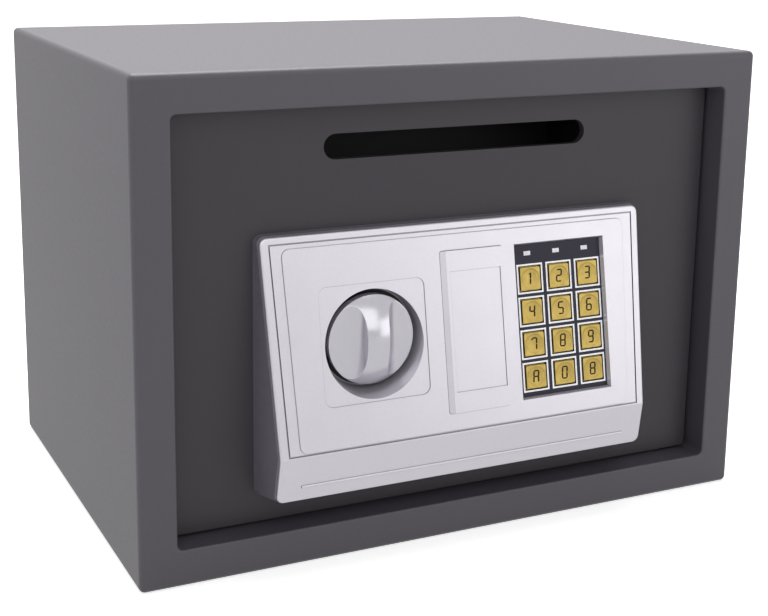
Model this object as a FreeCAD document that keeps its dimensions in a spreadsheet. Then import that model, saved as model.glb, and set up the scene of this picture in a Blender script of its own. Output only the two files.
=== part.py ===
# An electronic safe of folded sheet steel, with a deposit slot in its door and a sloped keypad panel.
# Millimetres. X runs to the right, Y to the back and Z up. The origin is the middle of the base.
# The door stands closed and unlocked: its bolts are drawn in and the lock's plunger is lifted.
import FreeCAD, Part
import math
import os
import Sketcher
from FreeCAD import Placement, Rotation, Vector

SIZES = {
    # Cabinet
    "cab_width": 350,
    "cab_height": 250,
    "cab_depth": 250,
    "wall": 2,
    "edge_radius": 3,
    "frame_face": 19,
    "frame_lip": 6,
    "jamb_depth": 44,
    "opening_radius": 3,
    "sill_radius": 1,
    "anchor_radius": 5,
    "floor_anchor_pitch": 180,
    "rear_anchor_pitch": 200,
    "rear_anchor_height": 125,
    "mat_thick": 2.5,
    "mat_gap": 2,
    "mat_hole_radius": 8,
    # Door and its hinges
    "door_recess": 14,
    "door_gap_side": 2.5,
    "door_gap_end": 1.5,
    "door_thick": 4,
    "door_edge": 0.6,
    "pivot_inset": 18,
    "pivot_back": 9,
    "pin_radius": 4,
    "pin_clearance": 0.05,
    "pin_grip": 18,
    "pin_reach": 9,
    "bush_radius": 6,
    "bush_flange_radius": 8,
    "bush_flange": 1.2,
    "bush_length": 8,
    "block_width": 22,
    "block_depth": 15,
    "block_height": 20,
    # Deposit slot and the hood behind it
    "slot_width": 150,
    "slot_height": 12.8,
    "slot_under_top": 20.2,
    "sheet_thick": 1.5,
    "hood_margin": 10,
    "hood_depth": 47,
    "hood_over": 9.7,
    "hood_drop": 29,
    # Box on the door's back and its cover
    "tray_gap_left": 7.5,
    "tray_gap_hinge": 6.5,
    "tray_gap_low": 17.5,
    "tray_gap_high": 33.5,
    "tray_depth": 27,
    "tray_flange": 8,
    "cover_screw_radius": 1.5,
    "cover_screw_length": 7,
    "screw_head_radius": 3,
    "screw_head": 1.6,
    # Keypad panel
    "panel_shift": -2,
    "panel_width": 220,
    "panel_low": 34.7,
    "panel_high": 168.9,
    "panel_draft": 0.16,
    "panel_corner": 4,
    "panel_edge": 1.2,
    "face_top": 167.4,
    "face_top_depth": 6.5,
    "crease_height": 61.6,
    "crease_depth": 26.5,
    "lip_height": 38.3,
    "lip_depth": 22.5,
    "fascia_thick": 3,
    "housing_wall": 2.5,
    "plateau_rise": 0.6,
    "plateau_margin": 11.5,
    "plateau_top": 5.5,
    "plateau_foot": 1.9,
    "groove_margin": 5.2,
    "groove_top": 2.6,
    "groove_foot": 0.8,
    "groove_width": 0.8,
    "groove_deep": 0.6,
    "ridge_radius": 0.7,
    "ridge_length": 188,
    "ridge_drop": 15.7,
    "boss_radius": 4,
    "boss_inset_side": 13,
    "boss_inset_end": 8,
    "boss_rib": 2,
    "panel_screw_radius": 1.6,
    "panel_screw_length": 8,
    # Knob, spindle and crank
    "knob_across": -54,
    "knob_height": 113,
    "knob_radius": 23.2,
    "knob_rim": 4.2,
    "knob_dome": 10,
    "knob_face_depth": 12.7,
    "scoop_radius": 9.5,
    "scoop_offset": 15.6,
    "scoop_edge": 0.5,
    "bowl_radius": 27.5,
    "bowl_floor_radius": 25.2,
    "bowl_wall": 1.8,
    "bowl_under_knob": 1.3,
    "field_width": 58,
    "field_height": 59.5,
    "field_sink": 0.4,
    "field_corner": 4.5,
    "spindle_radius": 4,
    "spindle_in_knob": 6,
    "spindle_clearance": 0.08,
    "spindle_bush_radius": 6,
    "crank_radius": 13.95,
    "crank_swing": 35,
    "crank_pin_radius": 3,
    "crank_pin_slack": 0.4,
    "crank_thick": 3,
    "crank_hub_radius": 7,
    "crank_hub": 6,
    "crank_gap": 0.5,
    # Bolt work
    "bolt_travel": 16,
    "bolt_radius": 8,
    "bolt_slack": 0.4,
    "bolt_nose": 1.5,
    "bolt_back": 11,
    "bolt_pitch": 82,
    "bolt_rest_gap": 3.5,
    "bolt_stud_radius": 3,
    "bolt_nut_radius": 5,
    "bolt_nut": 4,
    "carriage_gap": 2,
    "carriage_slack": 0.5,
    "carriage_thick": 3,
    "carriage_left": -98,
    "carriage_right": -36,
    "carriage_height": 102,
    "carriage_flange": 18,
    "arm_height": 7.5,
    "arm_top": 91.5,
    "tooth_length": 8,
    "tooth_height": 5.1,
    "tooth_gap": 0.5,
    "tooth_depth": 12,
    "stud_radius": 4,
    "stud_slack": 0.3,
    "stud_head_radius": 6.5,
    "stud_head": 2,
    "stud_across": -86,
    "stud_spread": 21,
    # Solenoid and plunger
    "plunger_across": -21,
    "plunger_back": 12,
    "plunger_radius": 3,
    "plunger_over_tooth": 0.4,
    "collar_radius": 7,
    "collar_thick": 2,
    "collar_over_cam": 0.3,
    "core_radius": 4,
    "core_clearance": 0.2,
    "core_length": 26,
    "coil_radius": 8.75,
    "coil_height": 30,
    "solenoid_width": 24,
    "solenoid_gap": 2.7,
    "solenoid_ear": 10,
    "solenoid_ear_width": 16,
    "bracket_thick": 1.5,
    "small_screw_radius": 1.5,
    "small_screw_length": 4.5,
    "spring_radius": 5.2,
    "spring_wire": 0.3,
    "spring_turns": 2,
    # Override lock behind the little cover
    "lock_across": 3,
    "lock_radius": 9.5,
    "lock_front": 11,
    "lock_tail": 11,
    "lock_flange_radius": 10.5,
    "lock_flange": 2,
    "lock_nut_radius": 13,
    "lock_nut": 5,
    "plug_radius": 6.5,
    "plug_clearance": 0.08,
    "plug_tail": 4.5,
    "keyway_width": 2,
    "keyway_height": 8,
    "keyway_depth": 12,
    "cam_reach": 24,
    "cam_width": 6,
    "cam_thick": 2,
    "key_cover_left": -15.2,
    "key_cover_width": 36.2,
    "key_cover_top": 14,
    "key_cover_height": 83,
    "key_cover_rise": 1,
    "key_cover_sink": 1.5,
    "key_cover_gap": 0.2,
    "key_cover_bevel": 3,
    "inset_side": 2,
    "inset_left": 4.7,
    "inset_end": 10.5,
    "inset_deep": 0.4,
    "clip_inset": 9,
    "clip_length": 9,
    "clip_width": 1.6,
    "clip_reach": 5,
    "clip_slack": 0.4,
    "lock_hole_radius": 10.8,
    # Keypad
    "window_left": 28.3,
    "window_width": 55,
    "window_top": 14,
    "window_height": 81.8,
    "window_bevel": 0.9,
    "overlay_sink": 2,
    "overlay_thick": 1.2,
    "overlay_gap": 0.15,
    "key_first_across": 38.4,
    "key_first_down": 33,
    "key_pitch_across": 17.65,
    "key_pitch_down": 17.25,
    "key_side": 11.9,
    "key_gap": 0.5,
    "key_rise": 0.4,
    "key_corner": 0.7,
    "key_dish_radius": 40,
    "key_dish": 0.22,
    "key_flange_side": 14.2,
    "key_flange": 0.8,
    "key_flange_gap": 0.2,
    "key_travel": 0.8,
    "key_free": 0.3,
    "mat_pad_side": 9,
    "mat_pad": 0.9,
    "mat_sheet": 1,
    "board_thick": 1.4,
    "collar_wall": 2,
    "lens_width": 4,
    "lens_height": 2.2,
    "lens_down": 19.6,
    "lens_shift": 1,
    # Inner cover, control board, reset button and batteries
    "grommet_across": 56,
    "grommet_height": 137,
    "grommet_radius": 7,
    "grommet_bore": 4,
    "grommet_lip": 1.5,
    "grommet_lip_thick": 1,
    "control_from_right": 84,
    "control_width": 76,
    "control_over_bay": 7.5,
    "control_height": 44,
    "control_stand": 6,
    "control_thick": 1.6,
    "control_post_radius": 3,
    "control_post_inset": 5,
    "connector_width": 16,
    "connector_height": 6,
    "connector_deep": 7,
    "switch_side": 8,
    "switch_deep": 4,
    "reset_in": 15,
    "reset_up": 14,
    "reset_radius": 3.5,
    "reset_clearance": 0.4,
    "reset_rise": 2,
    "reset_travel": 1.5,
    "reset_free": 0.4,
    "reset_flange": 1,
    "cell_radius": 7.1,
    "cell_length": 50,
    "cell_gap": 0.5,
    "cell_count": 4,
    "cell_nub_radius": 2.7,
    "cell_nub": 1,
    "cell_back_gap": 1,
    "contact_room": 3.6,
    "contact_radius": 4,
    "contact_tip_radius": 2.5,
    "bay_wall": 1.6,
    "bay_from_right": 70,
    "bay_up": 9,
    "bay_lip": 3,
    "bay_lip_thick": 1,
    "lid_thick": 2,
    "lid_gap": 0.3,
    "rail_thick": 1.5,
    "rail_lip": 2,
    "lid_rib": 0.8,
    "lid_rib_pitch": 3,
}

KEYS = ("1", "2", "3", "4", "5", "6", "7", "8", "9", "a", "0", "b")


class Size:
    """A number with the expression that gives it from the sheet."""

    def __init__(self, value, text):
        self.value = float(value)
        self.text = text

    def __add__(self, other):
        other = as_size(other)
        return Size(self.value + other.value, f"({self.text} + {other.text})")

    def __sub__(self, other):
        other = as_size(other)
        return Size(self.value - other.value, f"({self.text} - {other.text})")

    def __mul__(self, other):
        other = as_size(other)
        return Size(self.value * other.value, f"{self.text} * {other.text}")

    def __truediv__(self, other):
        other = as_size(other)
        return Size(self.value / other.value, f"{self.text} / ({other.text})")

    def __neg__(self):
        return Size(-self.value, f"(0 - {self.text})")

    def __radd__(self, other):
        return as_size(other) + self

    def __rsub__(self, other):
        return as_size(other) - self

    def __rmul__(self, other):
        return as_size(other) * self


def as_size(number):
    """A plain number stands for itself."""
    return number if isinstance(number, Size) else Size(number, f"({number})")


def root(size):
    return Size(math.sqrt(size.value), f"sqrt({size.text})")


def sine(degrees):
    return Size(math.sin(math.radians(degrees.value)), f"sin({degrees.text})")


def cosine(degrees):
    return Size(math.cos(math.radians(degrees.value)), f"cos({degrees.text})")


class Sheet:
    """The spreadsheet of driving sizes, read by alias."""

    def __init__(self, document, sizes):
        self.cells = document.addObject("Spreadsheet::Sheet", "Sizes")
        for row, (alias, value) in enumerate(sizes.items(), start=1):
            self.cells.set(f"A{row}", alias)
            self.cells.set(f"B{row}", str(value))
            self.cells.setAlias(f"B{row}", alias)
        document.recompute()

    def __getattr__(self, alias):
        return Size(getattr(self.cells, alias), f"Sizes.{alias}")


doc = FreeCAD.newDocument("Safe")
s = Sheet(doc, SIZES)
nodes = []


def bind(thing, path, value):
    """One property of an object follows a size."""
    thing.setExpression(path, as_size(value).text)


def place(thing, x, y, z):
    for axis, value in zip("xyz", (x, y, z)):
        bind(thing, f"Placement.Base.{axis}", value)


def box(name, low, sides):
    """A block from its low corner."""
    thing = doc.addObject("Part::Box", name)
    for path, value in zip(("Length", "Width", "Height"), sides):
        bind(thing, path, value)
    place(thing, *low)
    return thing


TURNS = {
    "X": Rotation(Vector(0, 1, 0), 90),
    "Y": Rotation(Vector(1, 0, 0), -90),
    "Z": Rotation(),
}


def rod(name, start, radius, length, axis):
    """A round bar from its low end along an axis."""
    thing = doc.addObject("Part::Cylinder", name)
    thing.Placement = Placement(Vector(), TURNS[axis])
    bind(thing, "Radius", radius)
    bind(thing, "Height", length)
    place(thing, *start)
    return thing


def cone(name, start, radius, end_radius, length, axis):
    thing = doc.addObject("Part::Cone", name)
    thing.Placement = Placement(Vector(), TURNS[axis])
    bind(thing, "Radius1", radius)
    bind(thing, "Radius2", end_radius)
    bind(thing, "Height", length)
    place(thing, *start)
    return thing


def ball(name, centre, radius):
    thing = doc.addObject("Part::Sphere", name)
    bind(thing, "Radius", radius)
    place(thing, *centre)
    return thing


def frustum(name, low, high, far_low, far_high, start, end):
    """A block that tapers along Y. Its near end spans low to high, and its far end far_low to far_high."""
    thing = doc.addObject("Part::Wedge", name)
    spans = (("Xmin", low[0]), ("Xmax", high[0]), ("Zmin", low[1]), ("Zmax", high[1]),
             ("X2min", far_low[0]), ("X2max", far_high[0]), ("Z2min", far_low[1]), ("Z2max", far_high[1]),
             ("Ymin", start), ("Ymax", end))
    for path, value in spans:
        bind(thing, path, value)
    return thing


def join(name, *parts):
    thing = doc.addObject("Part::MultiFuse", name)
    thing.Shapes = list(parts)
    return thing


def cut(name, base, *tools):
    thing = doc.addObject("Part::Cut", name)
    thing.Base = base
    thing.Tool = tools[0] if len(tools) == 1 else join(name + "_tools", *tools)
    return thing


def common(name, first, second):
    thing = doc.addObject("Part::Common", name)
    thing.Base = first
    thing.Tool = second
    return thing


def together(name, *parts):
    """Like pieces that stay separate solids in one node."""
    thing = doc.addObject("Part::Compound", name)
    thing.Links = list(parts)
    return thing


def rounded(name, base, radius, chosen):
    """The base with a radius on each edge that the test chooses."""
    doc.recompute()
    edges = [n for n, edge in enumerate(base.Shape.Edges, start=1) if chosen(edge)]
    if not edges:
        raise RuntimeError(f"{name}: no edge to round")
    thing = doc.addObject("Part::Fillet", name)
    thing.Base = base
    thing.Edges = [(n, radius.value, radius.value) for n in edges]
    return thing


def runs_along(edge, axis):
    """Whether a straight edge runs along X, Y or Z."""
    if len(edge.Vertexes) < 2:
        return False
    step = edge.Vertexes[-1].Point - edge.Vertexes[0].Point
    across = [abs(value) for letter, value in zip("XYZ", step) if letter != axis]
    return max(across) < 1e-6 and step.Length > 1e-6


def lies_at(edge, axis, value, slack=1e-4):
    """Whether the whole edge lies in a plane square to an axis."""
    bounds = edge.BoundBox
    low = getattr(bounds, axis + "Min")
    high = getattr(bounds, axis + "Max")
    return abs(low - value.value) < slack and abs(high - value.value) < slack


def slot(name, centre_x, centre_z, width, height, start, length):
    """A tool for a slot with round ends that runs along X and is cut along Y."""
    radius = height / 2
    straight = width - height
    bar = box(name + "_bar", (centre_x - straight / 2, start, centre_z - radius), (straight, length, height))
    ends = [rod(f"{name}_{side}", (centre_x + sign * straight / 2, start, centre_z), radius, length, "Y")
            for side, sign in (("left", -1), ("right", 1))]
    return join(name, bar, *ends)


def fix_point(sketch, item, end, x, y):
    """Ties one point of a sketch to two sizes, measured from the sketch's origin."""
    for kind, value in (("DistanceX", as_size(x)), ("DistanceY", as_size(y))):
        number = sketch.addConstraint(Sketcher.Constraint(kind, -1, 1, item, end, value.value))
        sketch.setExpression(f"Constraints[{number}]", value.text)


def draw_corners(sketch, corners):
    """A closed ring of straight lines through its corners."""
    points = [Vector(as_size(x).value, as_size(y).value, 0) for x, y in corners]
    lines = []
    for start, end in zip(points, points[1:] + points[:1]):
        lines.append(sketch.addGeometry(Part.LineSegment(start, end), False))
    for line, following in zip(lines, lines[1:] + lines[:1]):
        sketch.addConstraint(Sketcher.Constraint("Coincident", line, 2, following, 1))
    for line, (x, y) in zip(lines, corners):
        fix_point(sketch, line, 1, x, y)


def draw_circle(sketch, x, y, radius):
    centre = Vector(as_size(x).value, as_size(y).value, 0)
    ring = sketch.addGeometry(Part.Circle(centre, Vector(0, 0, 1), as_size(radius).value), False)
    fix_point(sketch, ring, 3, x, y)
    number = sketch.addConstraint(Sketcher.Constraint("Radius", ring, as_size(radius).value))
    sketch.setExpression(f"Constraints[{number}]", as_size(radius).text)


def draw(body, name, plane, rings):
    """A sketch on one of the body's own planes. A ring is a circle's x, y and radius, or its corners."""
    sketch = body.newObject("Sketcher::SketchObject", name)
    support = next(part for part in body.Origin.OriginFeatures if part.Role == plane)
    sketch.AttachmentSupport = [(support, "")]
    sketch.MapMode = "FlatFace"
    for ring in rings:
        if isinstance(ring, tuple):
            draw_circle(sketch, *ring)
        else:
            draw_corners(sketch, ring)
    return sketch


def padded(name, plane, rings, length, start=0, flipped=False):
    """A body whose rings on a plane are padded along the plane's normal, or against it when flipped."""
    body = doc.addObject("PartDesign::Body", name)
    sketch = draw(body, name + "_sketch", plane, rings)
    pad = body.newObject("PartDesign::Pad", name + "_pad")
    pad.Profile = sketch
    bind(pad, "Length", length)
    pad.Reversed = flipped
    axis = {"XY_Plane": "z", "XZ_Plane": "y", "YZ_Plane": "x"}[plane]
    bind(body, f"Placement.Base.{axis}", start)
    return body


def turned(name, profile):
    """A body of revolution about its own Z axis, from corners given as radius and height."""
    body = doc.addObject("PartDesign::Body", name)
    sketch = draw(body, name + "_sketch", "XZ_Plane", [profile])
    revolution = body.newObject("PartDesign::Revolution", name + "_turn")
    revolution.Profile = sketch
    revolution.ReferenceAxis = (sketch, ["V_Axis"])
    revolution.Angle = 360
    return body


def rectangle(left, low, right, high):
    return [(left, low), (right, low), (right, high), (left, high)]


def node(name, thing):
    """Names a finished sub-part, which is written to a file of that name."""
    thing.Label = name
    nodes.append(thing)
    return thing


# Planes and places that several pieces share
half_width = s.cab_width / 2
front = -(s.cab_depth / 2)
rear = s.cab_depth / 2
open_side = half_width - s.frame_face
open_low = s.frame_face
open_high = s.cab_height - s.frame_face
jamb_end = front + s.jamb_depth
door_front = front + s.door_recess
door_back = door_front + s.door_thick
door_side = open_side - s.door_gap_side
door_low = open_low + s.door_gap_end
door_high = open_high - s.door_gap_end
pivot_x = door_side - s.pivot_inset
pivot_y = door_front + s.pivot_back
slot_centre = door_high - s.slot_under_top
hood_roof = slot_centre + s.hood_over
tray_left = s.tray_gap_left - door_side
tray_right = pivot_x - s.block_width / 2 - s.tray_gap_hinge
tray_low = door_low + s.tray_gap_low
tray_high = door_high - s.tray_gap_high
tray_back = door_back + s.tray_depth
cover_back = tray_back + s.sheet_thick
bolt_y = door_back + s.bolt_back
bolt_heights = (s.knob_height - s.bolt_pitch / 2, s.knob_height + s.bolt_pitch / 2)
bolt_hole = s.bolt_radius + s.bolt_slack
carriage_front = door_back + s.carriage_gap
carriage_back = carriage_front + s.carriage_thick
plunger_y = door_back + s.plunger_back
lock_front = door_front - s.lock_front
lock_rear = door_back + s.lock_tail
plug_rear = lock_rear + s.plug_tail
stud_heights = (s.knob_height - s.stud_spread, s.knob_height + s.stud_spread)
collar_low = s.knob_height + s.cam_width / 2 + s.collar_over_cam
solenoid_low = collar_low + s.collar_thick + s.solenoid_gap
bay_front = cover_back - s.cell_back_gap - 2 * s.cell_radius - s.cell_gap - s.bay_wall
lip_back = cover_back + s.bay_lip_thick
bay_left = tray_right - s.bay_from_right
bay_low = tray_low + s.bay_up
bay_wide = s.cell_length + 2 * s.contact_room + 2 * s.bay_wall
bay_tall = s.cell_count * (2 * s.cell_radius + s.cell_gap) + s.cell_gap + 2 * s.bay_wall
control_left = tray_right - s.control_from_right
control_low = bay_low + bay_tall + s.control_over_bay
reset_across = control_left + s.reset_in
reset_height = control_low + s.reset_up


face_fall = s.crease_depth - s.face_top_depth
face_drop = s.face_top - s.crease_height
face_slope = face_fall / face_drop
face_length = root(face_fall * face_fall + face_drop * face_drop)
knob_rim_y = door_front - s.knob_face_depth
knob_back = knob_rim_y + s.knob_rim
knob_front = knob_rim_y - s.knob_dome
bowl_floor = knob_back + s.bowl_under_knob
overlay_low = -(s.overlay_sink + s.overlay_thick)
flange_low = overlay_low - s.key_flange_gap - s.key_flange
pad_low = flange_low - s.key_travel - s.key_free - s.mat_pad
board_low = pad_low - s.mat_sheet - s.board_thick

# The sloped face's own axes: X across, Y up the slope and Z out of it, from the middle of its top edge
FACE = Placement(Vector(0, (door_front - s.face_top_depth).value, s.face_top.value),
                 Rotation(Vector(1, 0, 0), 90 - math.degrees(math.atan(face_slope.value))))


def on_face(name, *parts):
    """Lays pieces drawn flat, in the face's own axes, on the sloped face."""
    thing = together(name, *parts)
    thing.Placement = FACE
    return thing


def door_opening(name):
    """The space that the front frame and the jambs leave for the door."""
    block = box(f"{name}_block", (-open_side, front - 1, open_low),
                (2 * open_side, s.jamb_depth + 2, open_high - open_low))
    return rounded(name, block, s.opening_radius, lambda edge: runs_along(edge, "Y"))


def jamb_block(name, start, length):
    """Solid block round the opening, over a stretch of its depth."""
    return box(name, (-open_side - s.wall, start, open_low - s.wall),
               (2 * (open_side + s.wall), length, open_high - open_low + 2 * s.wall))


def cabinet_shell():
    """Folded walls and front frame, with the frame's lip turned in round the opening."""
    walls = rounded("shell_walls", box("shell_block", (-half_width, front, 0),
                                       (s.cab_width, s.cab_depth, s.cab_height)),
                    s.edge_radius, lambda edge: True)
    cavity = box("shell_cavity", (s.wall - half_width, front + s.wall, s.wall),
                 (s.cab_width - 2 * s.wall, s.cab_depth, s.cab_height - 2 * s.wall))
    lip = jamb_block("lip_block", front + s.wall / 2, s.frame_lip - s.wall / 2)
    holes = [rod(f"floor_anchor_{n}", (side * s.floor_anchor_pitch / 2, 0, -s.wall), s.anchor_radius,
                 3 * s.wall, "Z") for n, side in enumerate((-1, 1))]
    framed = join("shell_framed", cut("shell_hollow", walls, cavity), lip)
    shell = cut("shell_opened", framed, door_opening("frame_opening"), *holes)

    def sill(edge):
        bounds = edge.BoundBox
        inside = bounds.XMin > -open_side.value - 1 and bounds.XMax < open_side.value + 1
        return lies_at(edge, "Y", front) and inside

    return node("cabinet_shell", rounded("shell_softened", shell, s.sill_radius, sill))


def door_jambs():
    """Folded channel welded to the frame's lip, with the holes for the bolts and the hinge bushes."""
    block = jamb_block("jamb_block", front + s.frame_lip, s.jamb_depth - s.frame_lip)
    holes = [rod(f"bolt_hole_{n}", (-open_side - 2 * s.wall, bolt_y, height), bolt_hole, 3 * s.wall, "X")
             for n, height in enumerate(bolt_heights)]
    holes += [rod(f"bush_hole_{n}", (pivot_x, pivot_y, height - 1.5 * s.wall), s.bush_radius, 3 * s.wall, "Z")
              for n, height in enumerate((open_low, open_high))]
    node("door_jambs", cut("jambs_opened", block, door_opening("jamb_opening"), *holes))


def back_panel():
    """Flat plate inside the rear end of the walls, with the anchor holes."""
    lift = math.sqrt(s.edge_radius.value ** 2 - (s.edge_radius.value - s.wall.value) ** 2)
    lip = s.edge_radius.value - lift
    ring = rectangle(s.wall - half_width, s.wall, half_width - s.wall, s.cab_height - s.wall)
    holes = [(side * s.rear_anchor_pitch / 2, s.rear_anchor_height, s.anchor_radius) for side in (-1, 1)]
    node("back_panel", padded("back_panel", "XZ_Plane", [ring, *holes], s.wall, rear - lip))


def hinge_bushes():
    """Flanged bushes in the upper and lower jambs, which the door's pins turn in."""
    bore = s.pin_radius + s.pin_clearance
    pair = []
    for name, base, sign in (("lower", open_low, -1), ("upper", open_high, 1)):
        bush = turned(f"bush_{name}", [(bore, -s.bush_flange), (s.bush_flange_radius, -s.bush_flange),
                                       (s.bush_flange_radius, 0), (s.bush_radius, 0),
                                       (s.bush_radius, s.bush_length), (bore, s.bush_length)])
        bush.Placement = Placement(Vector(), Rotation(Vector(1, 0, 0), 0 if sign > 0 else 180))
        place(bush, pivot_x, pivot_y, base)
        pair.append(bush)
    node("hinge_bushes", together("hinge_bush_pair", *pair))


def floor_mat():
    left = s.wall + s.mat_gap - half_width
    low = jamb_end + s.mat_gap
    high = rear - 2 * s.wall - s.mat_gap
    holes = [(side * s.floor_anchor_pitch / 2, 0, s.mat_hole_radius) for side in (-1, 1)]
    node("floor_mat", padded("floor_mat", "XY_Plane", [rectangle(left, low, -left, high), *holes],
                             s.mat_thick, s.wall))


def boss_places():
    """Where the panel's four screws go."""
    half = s.panel_width / 2 - s.boss_inset_side
    ends = (s.panel_low + s.boss_inset_end, s.panel_high - s.boss_inset_end)
    return [(s.panel_shift + side * half, height) for side in (-1, 1) for height in ends]


def door_plate():
    """Front plate with the deposit slot and the holes that the panel's works pass through."""
    plate = box("door_blank", (-door_side, door_front, door_low),
                (2 * door_side, s.door_thick, door_high - door_low))
    plate = rounded("door_corners", plate, s.opening_radius - s.door_edge,
                    lambda edge: runs_along(edge, "Y"))
    plate = rounded("door_soft", plate, s.door_edge, lambda edge: lies_at(edge, "Y", door_front))
    start = door_front - 1
    length = s.door_thick + 2
    tools = [slot("deposit_slot", 0, slot_centre, s.slot_width, s.slot_height, start, length),
             rod("spindle_hole", (s.knob_across, start, s.knob_height), s.spindle_bush_radius, length, "Y"),
             rod("lock_hole", (s.lock_across, start, s.knob_height), s.lock_radius, length, "Y"),
             rod("harness_hole", (s.grommet_across, start, s.grommet_height), s.grommet_radius, length, "Y")]
    tools += [rod(f"panel_hole_{n}", (x, start, z), s.panel_screw_radius, length, "Y")
              for n, (x, z) in enumerate(boss_places())]
    tapped = door_back + s.bracket_thick - s.small_screw_length
    tools += [rod(f"bracket_hole_{n}", (s.plunger_across, tapped, z), s.small_screw_radius,
                  s.small_screw_length, "Y")
              for n, z in enumerate(solenoid_screw_heights())]
    node("door_plate", cut("door_plate_cut", plate, *tools))


def hinge_blocks():
    """Blocks on the door's back that hold the pins."""
    blocks = []
    pins = []
    for name, base, sign in (("lower", door_low, 1), ("upper", door_high, -1)):
        foot = base if sign > 0 else base - s.block_height
        block = box(f"block_{name}_blank", (pivot_x - s.block_width / 2, door_back, foot),
                    (s.block_width, s.block_depth, s.block_height))
        hole_foot = base - 1 if sign > 0 else base - s.pin_grip
        bore = rod(f"block_{name}_bore", (pivot_x, pivot_y, hole_foot), s.pin_radius, s.pin_grip + 1, "Z")
        blocks.append(cut(f"block_{name}", block, bore))
        pin_foot = base - s.pin_reach if sign > 0 else base - s.pin_grip
        pins.append(rod(f"pin_{name}", (pivot_x, pivot_y, pin_foot), s.pin_radius,
                        s.pin_grip + s.pin_reach, "Z"))
    node("hinge_blocks", together("hinge_block_pair", *blocks))
    node("hinge_pins", together("hinge_pin_pair", *pins))


def slot_hood():
    """Bent sheet behind the slot, which turns what is posted downwards and keeps fingers out."""
    half = s.slot_width / 2 + s.hood_margin
    hood_back = door_back + s.hood_depth
    outer = box("hood_block", (-half, door_back, hood_roof - s.hood_drop),
                (2 * half, s.hood_depth, s.hood_drop))
    inner = box("hood_space", (s.sheet_thick - half, door_back - 1, hood_roof - s.hood_drop - 1),
                (2 * (half - s.sheet_thick), s.hood_depth + 1 - s.sheet_thick,
                 s.hood_drop + 1 - s.sheet_thick))
    relief = box("hood_relief", (-half - 1, door_back - 1, hood_roof - s.hood_drop - 1),
                 (2 * half + 2, tray_back + s.sheet_thick + 2 - door_back,
                  tray_high + 2 - (hood_roof - s.hood_drop)))
    hood = cut("hood_bent", outer, inner, relief)
    node("slot_hood", rounded("hood_soft", hood, s.sheet_thick * 0.6,
                              lambda edge: runs_along(edge, "X") and lies_at(edge, "Y", hood_back)
                              and lies_at(edge, "Z", hood_roof)))


def cover_screw_places():
    middle = (tray_left + tray_right) / 2
    inset = s.tray_flange / 2
    return [(x, z) for x in (tray_left + inset, middle, tray_right - inset)
            for z in (tray_low + inset, tray_high - inset)]


def door_tray():
    """Folded box on the door's back, which carries the bolts, with flanges for its cover."""
    wide = tray_right - tray_left
    tall = tray_high - tray_low
    outer = box("tray_block", (tray_left, door_back, tray_low), (wide, s.tray_depth, tall))
    outer = rounded("tray_folded", outer, s.sheet_thick, lambda edge: runs_along(edge, "Y"))
    inner = box("tray_space", (tray_left + s.sheet_thick, door_back - 1, tray_low + s.sheet_thick),
                (wide - 2 * s.sheet_thick, s.tray_depth + 1 - s.sheet_thick, tall - 2 * s.sheet_thick))
    mouth = box("tray_mouth", (tray_left + s.tray_flange, door_back, tray_low + s.tray_flange),
                (wide - 2 * s.tray_flange, s.tray_depth + 1, tall - 2 * s.tray_flange))
    holes = [rod(f"tray_bolt_hole_{n}", (tray_left - 1, bolt_y, height), bolt_hole, s.sheet_thick + 2, "X")
             for n, height in enumerate(bolt_heights)]
    holes += [rod(f"tray_screw_hole_{n}", (x, tray_back - s.sheet_thick - 1, z), s.cover_screw_radius,
                  s.sheet_thick + 2, "Y") for n, (x, z) in enumerate(cover_screw_places())]
    node("door_tray", cut("door_tray_cut", outer, inner, mouth, *holes))


def screw(name, x, z, head_side, radius, length, head_radius=s.screw_head_radius):
    """A pan-head screw along Y. Its head stands on the side of the sheet that faces the back."""
    head = s.screw_head
    shank = rod(f"{name}_shank", (x, head_side - length, z), radius, length, "Y")
    top = rod(f"{name}_head", (x, head_side, z), head_radius, head, "Y")
    top = rounded(f"{name}_round", top, head * 0.5, lambda edge: lies_at(edge, "Y", head_side + head))
    arm, half, start = head_radius * 0.6, head_radius * 0.1, head_side + head * 0.5
    slotted = cut(f"{name}_drive", top,
                  box(f"{name}_slot_a", (x - arm, start, z - half), (2 * arm, head, 2 * half)),
                  box(f"{name}_slot_b", (x - half, start, z - arm), (2 * half, head, 2 * arm)))
    return join(name, shank, slotted)


def inner_cover():
    """Sheet that closes the box on the door, with openings for the battery bay and the reset button."""
    bay = rectangle(bay_left, bay_low, bay_left + bay_wide, bay_low + bay_tall)
    rings = [rectangle(tray_left, tray_low, tray_right, tray_high), bay,
             (reset_across, reset_height, s.reset_radius + s.reset_clearance)]
    rings += [(x, z, s.cover_screw_radius) for x, z in cover_screw_places()]
    plate = padded("inner_cover_plate", "XZ_Plane", rings, s.sheet_thick, cover_back)
    node("inner_cover", plate)
    screws = [screw(f"cover_screw_{n}", x, z, cover_back, s.cover_screw_radius, s.cover_screw_length)
              for n, (x, z) in enumerate(cover_screw_places())]
    node("cover_screws", together("cover_screw_set", *screws))


def panel_block(name, inset, corner):
    """The panel's tapered block on the door, drawn in on every side by the inset."""
    reach = s.crease_depth + 10
    draft = reach * s.panel_draft
    half = s.panel_width / 2 - inset
    left = s.panel_shift - half
    right = s.panel_shift + half
    low = s.panel_low + inset
    high = s.panel_high - inset
    block = frustum(name, (left + draft, low + draft), (right - draft, high - draft),
                    (left, low), (right, high), door_front - reach, door_front)
    if corner is None:
        return block
    return rounded(name + "_corners", block, corner,
                   lambda edge: edge.BoundBox.YLength > reach.value - 1)


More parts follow.
